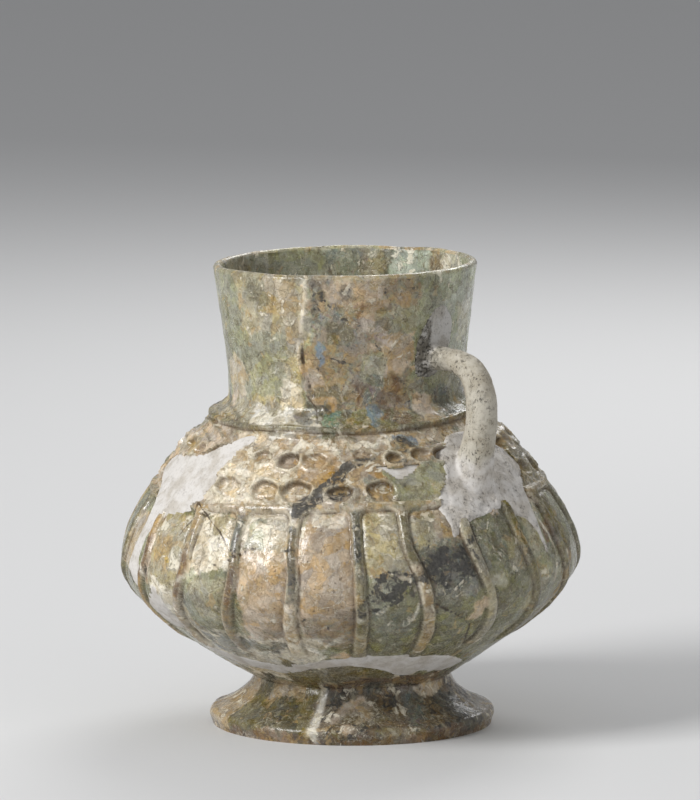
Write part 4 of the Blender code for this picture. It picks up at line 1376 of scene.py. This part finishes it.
def painted_runs(angle, height, outside, ragged):
    """How charred and how pale each place is from the runs of cracks."""
    char = np.zeros(len(angle))
    pale = np.zeros(len(angle))
    for half, strength, run in CHAR_RUNS:
        near, distance = near_run(angle, height, run, half * 2 + 3)
        edge = distance + ragged[near] * 0.6 * min(1, half / 4)
        char[near] = np.maximum(char[near], strength * smooth((half - edge) / (half * 0.5 + 0.6)))
    for run in PALE_RUNS:
        near, distance = near_run(angle, height, run, 4)
        broken = smooth(0.75 + 0.9 * ragged[near] / 2)
        pale[near] = np.maximum(pale[near], broken * bump((distance + ragged[near] * 0.08) / 0.75))
    return char * outside, pale * outside


def paint_trails(state, angle, height, ragged, fact):
    """Covers of the ribs, belt, collar, cells and of the sherd's edge on the neck."""
    for steps, bottom, top, name in RIB_PAINT:
        up = smooth((height - bottom + ragged) / 2.5) * smooth((top - height + ragged) / 2.5)
        mask = fact("on_trail") * up * (fact("number") == steps % RIB_COUNT)
        state = covered(state, mask * smooth((84.5 - height) / 2) * 0.88, name)
    belt_height = np.interp(turn_between(angle, 0), *np.array(BELT_RUN).T)
    state = covered(state, bump((height - belt_height) / 1.3) * 0.55, "tan")
    state = covered(state, fact("on_collar") * (np.abs(height - 107) < 7) * 0.75, "olive")
    state = covered(state, fact("ridge") * 0.9, "cream")
    return covered(state, fact("in_cell") * 0.38, "ochre")


def paint_inside(state, points, angle, near_angle, height, near_height, radius, inside):
    """The lining of the inner side, with its own covers in the mouth."""
    state = covered(state, inside * (0.75 + 0.2 * noise(points, 14.0, 221, 3)), "lining")
    mouth = inside * smooth((height - 140) / 6)
    for name, left, right, amount in MOUTH_PAINT:
        box = (left, right, *MOUTH_HEIGHTS)
        shown = mouth * amount * soft_box(near_angle, near_height, radius, box)
        state = covered(state, shown, name)
    pale_line = bump(np.radians(turn_between(angle, MOUTH_SEAM_ANGLE)) * radius / 0.7)
    return covered(state, mouth * pale_line, "chalk")


def paint_glass(mesh, points, places, facts):
    """Writes the wall's colours and masks on the mesh, for the material to read."""
    angle, height, outside = places.T
    radius = np.maximum(np.hypot(points[:, 0], points[:, 1]), 1.0)
    ragged = 2.4 * noise(points, 12.0, 211, 2) + 1.5 * noise(points, 4.2, 212, 2)
    ragged += 0.6 * noise(points, 1.6, 213, 1)
    none = np.zeros(len(points))

    def fact(name):
        return facts.get(name, none)

    state = unseen_state(points, height)
    near_angle, near_height = warped(points, angle, height, radius)
    for name, left, right, bottom, top, amount in WALL_PAINT:
        box = (left, right, bottom, top)
        state = covered(state, amount * soft_box(near_angle, near_height, radius, box), name)
    state = paint_trails(state, angle, height, ragged, fact)
    inside = 1 - outside
    state = paint_inside(state, points, angle, near_angle, height, near_height, radius, inside)

    char, pale = painted_runs(angle, height, outside, ragged)
    state = covered(state, np.clip(char, 0, 1) * 0.5, "smoke")
    charred = 3 + COVER_AMOUNTS.index("char")
    state[:, charred] = np.maximum(state[:, charred], char)
    pale *= 1 - 0.6 * np.clip(char, 0, 1)
    state = covered(state, pale * 0.9, "chalk")
    rim = smooth((height - RIM_HEIGHT + 2.2) / 1.5) * outside
    state = covered(state, rim * 0.5, "sand")
    clear = 3 + COVER_AMOUNTS.index("glassy")
    state[:, clear] = np.maximum(state[:, clear], 0.5 * inside)
    store_colour(mesh, "tint", np.clip(state[:, :3] * PAINT_GAIN, 0, 1))
    for index, name in enumerate(COVER_AMOUNTS):
        store_value(mesh, name, state[:, 3 + index])
    store_value(mesh, "crack", np.clip(fact("crack") - 0.7 * pale, 0, 1))
    # The painted shade line beside the trails and cells, and the painted highlight along their edges
    for name in ("line", "edge_highlight"):
        store_value(mesh, name, np.clip(fact(name), 0, 1))


def store_colour(mesh, name, values):
    """Keeps a colour for each point, for the material to read."""
    layer = mesh.attributes.new(name, "FLOAT_COLOR", "POINT")
    whole = np.ones((len(values), 4), np.float32)
    whole[:, :3] = values
    layer.data.foreach_set("color", whole.ravel())


def store_value(mesh, name, values):
    """Keeps a number for each point, for the material to read."""
    layer = mesh.attributes.new(name, "FLOAT", "POINT")
    layer.data.foreach_set("value", np.asarray(values, np.float32))


class Look:
    """A material with one Principled shader, and short calls for the nodes that feed it."""

    def __init__(self, name):
        self.material = bpy.data.materials.new(name)
        self.material.use_nodes = True
        self.tree = self.material.node_tree
        self.shader = self.tree.nodes["Principled BSDF"]
        self.place = self.node("ShaderNodeTexCoord").outputs["Object"]

    def node(self, kind, settings=(), **inputs):
        made = self.tree.nodes.new(kind)
        for key, value in dict(settings).items():
            setattr(made, key, value)
        for key, value in inputs.items():
            self.feed(made.inputs[key.replace("_", " ")], value)
        return made

    def feed(self, socket, value):
        if isinstance(value, bpy.types.NodeSocket):
            self.tree.links.new(value, socket)
        else:
            socket.default_value = value

    def value(self, name):
        return self.node("ShaderNodeAttribute", {"attribute_name": name}).outputs["Fac"]

    def colour(self, name):
        return self.node("ShaderNodeAttribute", {"attribute_name": name}).outputs["Color"]

    def noise(self, size, detail=4.0, rough=0.6, distortion=0.0, place=None):
        """Noise with marks of this size in millimetres."""
        place = place or self.place
        return self.node(
            "ShaderNodeTexNoise", Vector=place, Scale=1 / (size * MM), Detail=detail,
            Roughness=rough, Distortion=distortion,
        ).outputs["Fac"]  # fmt: skip

    def drifted(self, size, far):
        """The place, moved this far in millimetres by noise of this size."""
        drift = self.node("ShaderNodeTexNoise", Vector=self.place, Scale=1 / (size * MM))
        moved = self.node("ShaderNodeVectorMath", {"operation": "MULTIPLY_ADD"})
        self.feed(moved.inputs[0], drift.outputs["Color"])
        self.feed(moved.inputs[1], (far * MM,) * 3)
        self.feed(moved.inputs[2], self.place)
        return moved.outputs[0]

    def flakes(self, size, place):
        """Two random numbers for each of many cells about this far apart."""
        made = self.node("ShaderNodeTexVoronoi", Vector=place, Scale=1 / (size * MM))
        split = self.node("ShaderNodeSeparateColor", Color=made.outputs["Color"])
        return split.outputs["Red"], split.outputs["Green"]

    def seams(self, size, place, width):
        """1 on the lines between those cells, of about this width in millimetres."""
        made = self.node(
            "ShaderNodeTexVoronoi", {"feature": "DISTANCE_TO_EDGE"}, Vector=place, Scale=1 / (size * MM)
        )
        return self.between(made.outputs["Distance"], width / size, 0.0)

    def dots(self, size, place=None):
        """The distance to the nearest of many scattered points, about this far apart."""
        place = place or self.place
        made = self.node("ShaderNodeTexVoronoi", Vector=place, Scale=1 / (size * MM))
        return made.outputs["Distance"]

    def sum(self, a, b, how="ADD"):
        made = self.node("ShaderNodeMath", {"operation": how})
        self.feed(made.inputs[0], a)
        self.feed(made.inputs[1], b)
        return made.outputs[0]

    def both(self, a, b):
        return self.sum(a, b, "MULTIPLY")

    def most(self, a, b):
        return self.sum(a, b, "MAXIMUM")

    def between(self, value, low, high, to_low=0.0, to_high=1.0):
        """The value from low to high drawn out over another range, and held at its ends."""
        made = self.node("ShaderNodeMapRange", {"interpolation_type": "SMOOTHSTEP"}, Value=value)
        for key, number in (
            ("From Min", low), ("From Max", high), ("To Min", to_low), ("To Max", to_high),
        ):  # fmt: skip
            self.feed(made.inputs[key], number)
        return made.outputs["Result"]

    def islands(self, noise, amount, edge, reach, soft):
        """1 where the noise rises over an edge that a larger amount lowers."""
        level = self.sum(edge, self.both(amount, reach), "SUBTRACT")
        shown = self.between(self.sum(noise, level, "SUBTRACT"), 0.0, soft)
        return self.both(shown, self.between(amount, 0.03, 0.3))

    def contour(self, noise, level, width):
        """1 on the thin line where the noise passes a level."""
        off = self.sum(self.sum(noise, level, "SUBTRACT"), 0.0, "ABSOLUTE")
        return self.between(off, width, width * 0.3)

    def mix(self, share, first, second, how="MIX"):
        made = self.node("ShaderNodeMix", {"data_type": "RGBA", "blend_type": how})
        self.feed(made.inputs[0], share)
        self.feed(made.inputs[6], first)
        self.feed(made.inputs[7], second)
        return made.outputs[2]

    def laid(self, colour, mask, share, over):
        """The colour with another laid over it where the mask is, as strongly as the share."""
        return self.mix(self.both(mask, share), colour, over)

    def toned(self, colour, value, saturation):
        made = self.node("ShaderNodeHueSaturation", Color=colour)
        self.feed(made.inputs["Value"], value)
        self.feed(made.inputs["Saturation"], saturation)
        return made.outputs["Color"]

    def ramp(self, value, stops):
        made = self.node("ShaderNodeValToRGB", Fac=value)
        band = made.color_ramp
        while len(band.elements) < len(stops):
            band.elements.new(0.5)
        for element, (position, seen) in zip(band.elements, stops):
            element.position = position
            element.color = (*colour_of(*seen), 1)
        return made.outputs["Color"]

    def lit(self, *seen):
        return (*colour_of(*seen), 1)


@cache
def glass_material():
    """Weathered glass: clear grey-green glass under crusts, stains, char and iridescence, with painted
    shade and painted highlight along the trails and cells.
    """
    look = Look("weathered_glass_finish")
    crust, gold, char = look.value("crust"), look.value("gold"), look.value("char")
    iris, glassy = look.value("iris"), look.value("glassy")
    crack, line, edge_highlight = look.value("crack"), look.value("line"), look.value("edge_highlight")
    bent = look.drifted(4.0, 4.5)
    bent_fine = look.drifted(1.6, 2.2)
    fine = look.noise(1.1, 5.0, 0.68)
    broad = look.noise(7.0, 5.0, 0.62, 0.5)

    # Flakes of slightly unlike tones, with thin lines between some of them
    tone, dull = look.flakes(6.5, bent)
    small_tone, small_dull = look.flakes(3.4, bent_fine)
    value = look.between(tone, 0.0, 1.0, 0.84, 1.12)
    value = look.both(value, look.between(small_tone, 0.0, 1.0, 0.90, 1.10))
    value = look.both(value, look.between(broad, 0.36, 0.66, 0.84, 1.10))
    value = look.both(value, look.between(fine, 0.34, 0.66, 0.93, 1.07))
    fade = look.between(dull, 0.0, 1.0, 0.7, 1.15)
    fade = look.both(fade, look.between(small_dull, 0.0, 1.0, 0.8, 1.15))
    colour = look.toned(look.colour("tint"), value, fade)

    stain_noise = look.noise(5.6, 6.0, 0.58, 0.8)
    stained = look.islands(stain_noise, gold, 0.66, 0.19, 0.02)
    stain = look.ramp(fine, [(0.32, (132, 104, 62)), (0.62, (178, 150, 100))])
    colour = look.laid(colour, stained, 0.62, stain)
    outline = look.both(look.contour(stain_noise, 0.52, 0.010), look.between(gold, 0.1, 0.5))
    colour = look.laid(colour, outline, 0.45, look.lit(112, 84, 48))

    flake_noise = look.noise(4.8, 7.0, 0.62, 0.7)
    flaked = look.islands(flake_noise, crust, 0.65, 0.17, 0.018)
    pale = look.ramp(fine, [(0.3, (206, 194, 166)), (0.6, (238, 231, 214))])
    colour = look.laid(colour, flaked, 0.75, pale)

    shimmer_noise = look.noise(4.0, 3.0, 0.5, 1.2)
    shimmer = look.ramp(
        shimmer_noise,
        [(0.32, (84, 108, 140)), (0.42, (112, 146, 138)), (0.50, (144, 150, 108)),
         (0.58, (160, 128, 78)), (0.68, (146, 112, 128))],
    )  # fmt: skip
    shown = look.between(look.noise(3.2, 5.0, 0.62, 0.5), 0.47, 0.58)
    colour = look.mix(look.both(look.both(shown, iris), 0.7), colour, shimmer)

    # Grime, pale flecks and streaks, most of all where the glass shows
    busy = look.both(look.sum(glassy, look.both(crust, 0.7)), 1.1)
    busy = look.between(busy, 0.1, 0.8, 0.25, 1.0)
    grime = look.between(look.noise(6.5, 7.0, 0.64, 1.0), 0.53, 0.55)
    grime = look.both(look.both(grime, busy), 0.42)
    colour = look.mix(grime, colour, look.lit(168, 150, 108), "MULTIPLY")
    dirt = look.between(look.noise(3.2, 6.0, 0.68, 0.6, bent), 0.585, 0.61)
    colour = look.mix(look.both(look.both(dirt, busy), 0.5), colour, look.lit(104, 88, 56))
    drawn_out = look.node("ShaderNodeMapping", Vector=bent, Scale=(1.7, 1.7, 0.55))
    long_place = drawn_out.outputs["Vector"]
    streaks = look.between(look.noise(4.2, 7.0, 0.68, 1.0, long_place), 0.555, 0.58)
    colour = look.mix(look.both(look.both(streaks, busy), 0.36), colour, look.lit(220, 214, 186))

    # Crackle: thin dark and pale lines over everything
    crackle = look.both(look.seams(8.5, bent, 0.20), look.between(broad, 0.50, 0.60))
    crackle = look.most(crackle, look.both(look.contour(look.noise(9.0, 4.0, 0.6, 1.0), 0.5, 0.006), 0.7))
    colour = look.laid(colour, crackle, 0.4, look.lit(92, 76, 52))
    veins = look.contour(look.noise(6.0, 5.0, 0.66, 1.2), 0.46, 0.009)
    veins = look.both(veins, look.between(look.noise(12.0, 2.0), 0.44, 0.58))
    scored = look.contour(look.noise(10.0, 5.0, 0.6, 1.6, long_place), 0.53, 0.006)
    veins = look.most(veins, look.both(scored, look.between(glassy, 0.1, 0.5, 0.0, 0.45)))
    colour = look.laid(colour, veins, 0.65, look.lit(232, 226, 208))

    soot = look.noise(3.4, 7.0, 0.72, 1.0)
    sooty = look.islands(soot, char, 0.68, 0.22, 0.03)
    burnt = look.ramp(fine, [(0.38, (24, 22, 20)), (0.62, (74, 72, 68))])
    colour = look.laid(colour, sooty, 0.9, burnt)
    specks = look.between(look.dots(3.4, bent_fine), 0.15, 0.08)
    colour = look.laid(colour, specks, 0.6, look.lit(70, 56, 38))

    # Painted highlight along the trails' edges and the cells' rims, then painted shade beside the trails,
    # under the collar and along the cells' upper edges
    highlighted_edge = look.both(edge_highlight, look.between(fine, 0.40, 0.52, 0.1, 0.7))
    colour = look.mix(highlighted_edge, colour, look.lit(220, 210, 184))
    shade = look.both(line, look.between(fine, 0.36, 0.54, 0.5, 0.95))
    colour = look.mix(shade, colour, look.lit(84, 66, 42))
    split = look.between(look.sum(crack, look.both(fine, 0.4)), 0.5, 0.9, 0.0, 0.9)
    colour = look.mix(split, colour, look.lit(70, 54, 36))
    look.feed(look.shader.inputs["Base Color"], colour)

    covering = look.most(look.most(flaked, stained), sooty)
    clear = look.both(look.both(glassy, look.sum(1.0, covering, "SUBTRACT")), 0.6)
    look.feed(look.shader.inputs["Transmission Weight"], clear)
    rough = look.between(covering, 0.0, 1.0, 0.2, 0.56)
    rough = look.sum(rough, look.between(fine, 0.35, 0.7, -0.06, 0.14))
    look.feed(look.shader.inputs["Roughness"], rough)
    look.shader.inputs["IOR"].default_value = 1.5
    look.shader.inputs["Coat Weight"].default_value = 0.14
    look.shader.inputs["Coat Roughness"].default_value = 0.16

    height = look.sum(look.both(flaked, 0.6), look.both(fine, 0.2))
    height = look.sum(height, look.both(look.most(streaks, dirt), 0.2))
    height = look.sum(height, look.both(broad, 0.8))
    height = look.sum(height, look.both(look.between(tone, 0.3, 0.7), 0.2))
    height = look.sum(height, look.both(small_tone, 0.15))
    height = look.sum(height, look.both(stained, 0.3))
    height = look.sum(height, look.both(look.most(sooty, crackle), 0.45), "SUBTRACT")
    relief = look.node("ShaderNodeBump", Height=height, Strength=0.75, Distance=0.5 * MM)
    look.feed(look.shader.inputs["Normal"], relief.outputs["Normal"])
    return look.material


@cache
def plaster_material():
    """Matt plaster: a warm and a cooler white, with dark pits and faint stains."""
    look = Look("plaster_finish")
    rod, worn = look.value("rod"), look.value("worn")
    speckle, grey = look.value("speckle"), look.value("grey")
    bent = look.drifted(1.1, 2.0)
    broad = look.noise(8.0, 4.0, 0.6)
    fine = look.noise(0.9, 5.0, 0.7)
    colour = look.mix(rod, look.lit(208, 204, 199), look.lit(190, 184, 170))
    colour = look.mix(grey, colour, look.lit(188, 186, 182))
    cloudy = look.between(broad, 0.42, 0.64, 0.0, 0.6)
    colour = look.mix(cloudy, colour, look.lit(212, 205, 192), "MULTIPLY")
    grainy = look.between(fine, 0.50, 0.30, 0.0, 0.4)
    colour = look.mix(grainy, colour, look.lit(172, 164, 152), "MULTIPLY")
    smear = look.both(worn, look.between(look.noise(3.0, 5.0, 0.65), 0.36, 0.56))
    colour = look.laid(colour, smear, 0.85, look.lit(92, 87, 74))
    cluster = look.between(look.noise(4.0, 3.0, 0.6), 0.42, 0.60)
    drawn_out = look.node("ShaderNodeMapping", Vector=bent, Scale=(1.2, 1.2, 0.6))
    stretched = drawn_out.outputs["Vector"]
    near = look.both(look.between(look.noise(0.9, 4.0, 0.7, 0.3, stretched), 0.555, 0.59), cluster)
    larger = look.between(look.dots(2.4, stretched), 0.15, 0.10)
    gritty = look.between(look.noise(1.1, 4.0, 0.7), 0.53, 0.57)
    pits = look.both(look.most(near, larger), speckle)
    pits = look.most(pits, look.both(gritty, worn))
    colour = look.laid(colour, pits, 0.9, look.lit(46, 42, 36))
    scratch = look.both(look.contour(look.noise(7.0, 3.0, 0.5, 1.0), 0.5, 0.004), speckle)
    colour = look.laid(colour, scratch, 0.6, look.lit(96, 88, 76))
    look.feed(look.shader.inputs["Base Color"], colour)
    look.shader.inputs["Roughness"].default_value = 0.82
    height = look.sum(look.both(fine, 0.6), pits, "SUBTRACT")
    relief = look.node("ShaderNodeBump", Height=height, Strength=0.6, Distance=0.3 * MM)
    look.feed(look.shader.inputs["Normal"], relief.outputs["Normal"])
    return look.material


def make_glass():
    """The glass wall as four pieces, one below the other."""
    collar, belt = WALL_LINE.along_at(COLLAR_CUT), WALL_LINE.along_at(BELT_CUT)
    lowest = WALL_LINE.along_at(LOWEST_MATCHED)
    coarse = 1
    neck_rows = row_places(0, collar, NECK_STEP * coarse)
    shoulder_rows = row_places(collar, belt, SHOULDER_STEP * coarse)
    bowl_rows = row_places(belt, lowest, BOWL_STEP * coarse, BOWL_FINE_STRETCH)
    neck = wall_piece("neck_wall", neck_rows, NECK_COLUMNS // coarse, top_rows=lip_rows())
    shoulder = wall_piece("shoulder_wall", shoulder_rows, SHOULDER_COLUMNS // coarse)
    bowl = wall_piece("bowl_wall", bowl_rows, BOWL_COLUMNS // coarse, bottom=bowl_bottom)
    foot = foot_piece("foot_wall", FOOT_COLUMNS // coarse, FOOT_STEP * coarse)
    for piece in (neck, shoulder, bowl, foot):
        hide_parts("glass_vessel")


def make_stage():
    """A pale floor, a pale world and soft lights from the left, right and behind."""
    mesh = bpy.data.meshes.new("floor")
    corners = [(-1, -1, 0), (1, -1, 0), (1, 1, 0), (-1, 1, 0)]
    mesh.from_pydata([Vector(corner) * FLOOR_REACH for corner in corners], [], [(0, 1, 2, 3)])
    paint = bpy.data.materials.new("pale_floor")
    paint.use_nodes = True
    shader = paint.node_tree.nodes["Principled BSDF"]
    shader.inputs["Base Color"].default_value = FLOOR_COLOUR
    shader.inputs["Roughness"].default_value = FLOOR_ROUGHNESS
    mesh.materials.append(paint)
    floor = placed("floor", mesh)
    world = bpy.data.worlds.new("pale_world")
    world.use_nodes = True
    background = world.node_tree.nodes["Background"]
    background.inputs["Color"].default_value = WORLD_COLOUR
    background.inputs["Strength"].default_value = WORLD_STRENGTH
    bpy.context.scene.world = world
    for name, place, size, power in LIGHTS:
        light = bpy.data.lights.new(name, "AREA")
        light.size = size
        light.energy = power
        lamp = placed(name, light)
        lamp.location = place
        aim = LIGHT_TARGET - Vector(place)
        lamp.rotation_euler = aim.to_track_quat("-Z", "Y").to_euler()


def make_camera():
    """The photograph's view: a long lens, a little above the vase, slightly raised."""
    data = bpy.data.cameras.new("camera")
    data.lens = CAMERA_LENS
    data.sensor_width = CAMERA_SENSOR
    camera = placed("camera", data)
    back = Vector((0, -math.cos(CAMERA_ELEVATION), math.sin(CAMERA_ELEVATION)))
    up = Vector((0, math.sin(CAMERA_ELEVATION), math.cos(CAMERA_ELEVATION)))
    camera.location = CAMERA_TARGET + back * CAMERA_DISTANCE + up * CAMERA_RISE
    camera.rotation_euler = (-back).to_track_quat("-Z", "Y").to_euler()
    bpy.context.scene.camera = camera


bpy.context.scene.view_settings.view_transform = "Standard"
make_camera()
make_stage()
make_glass()
for fill in ("plaster_fill_shoulder", "plaster_fill_flank", "plaster_fill_base", "plaster_fill_front"):
    fill_piece(fill)
handle_piece()
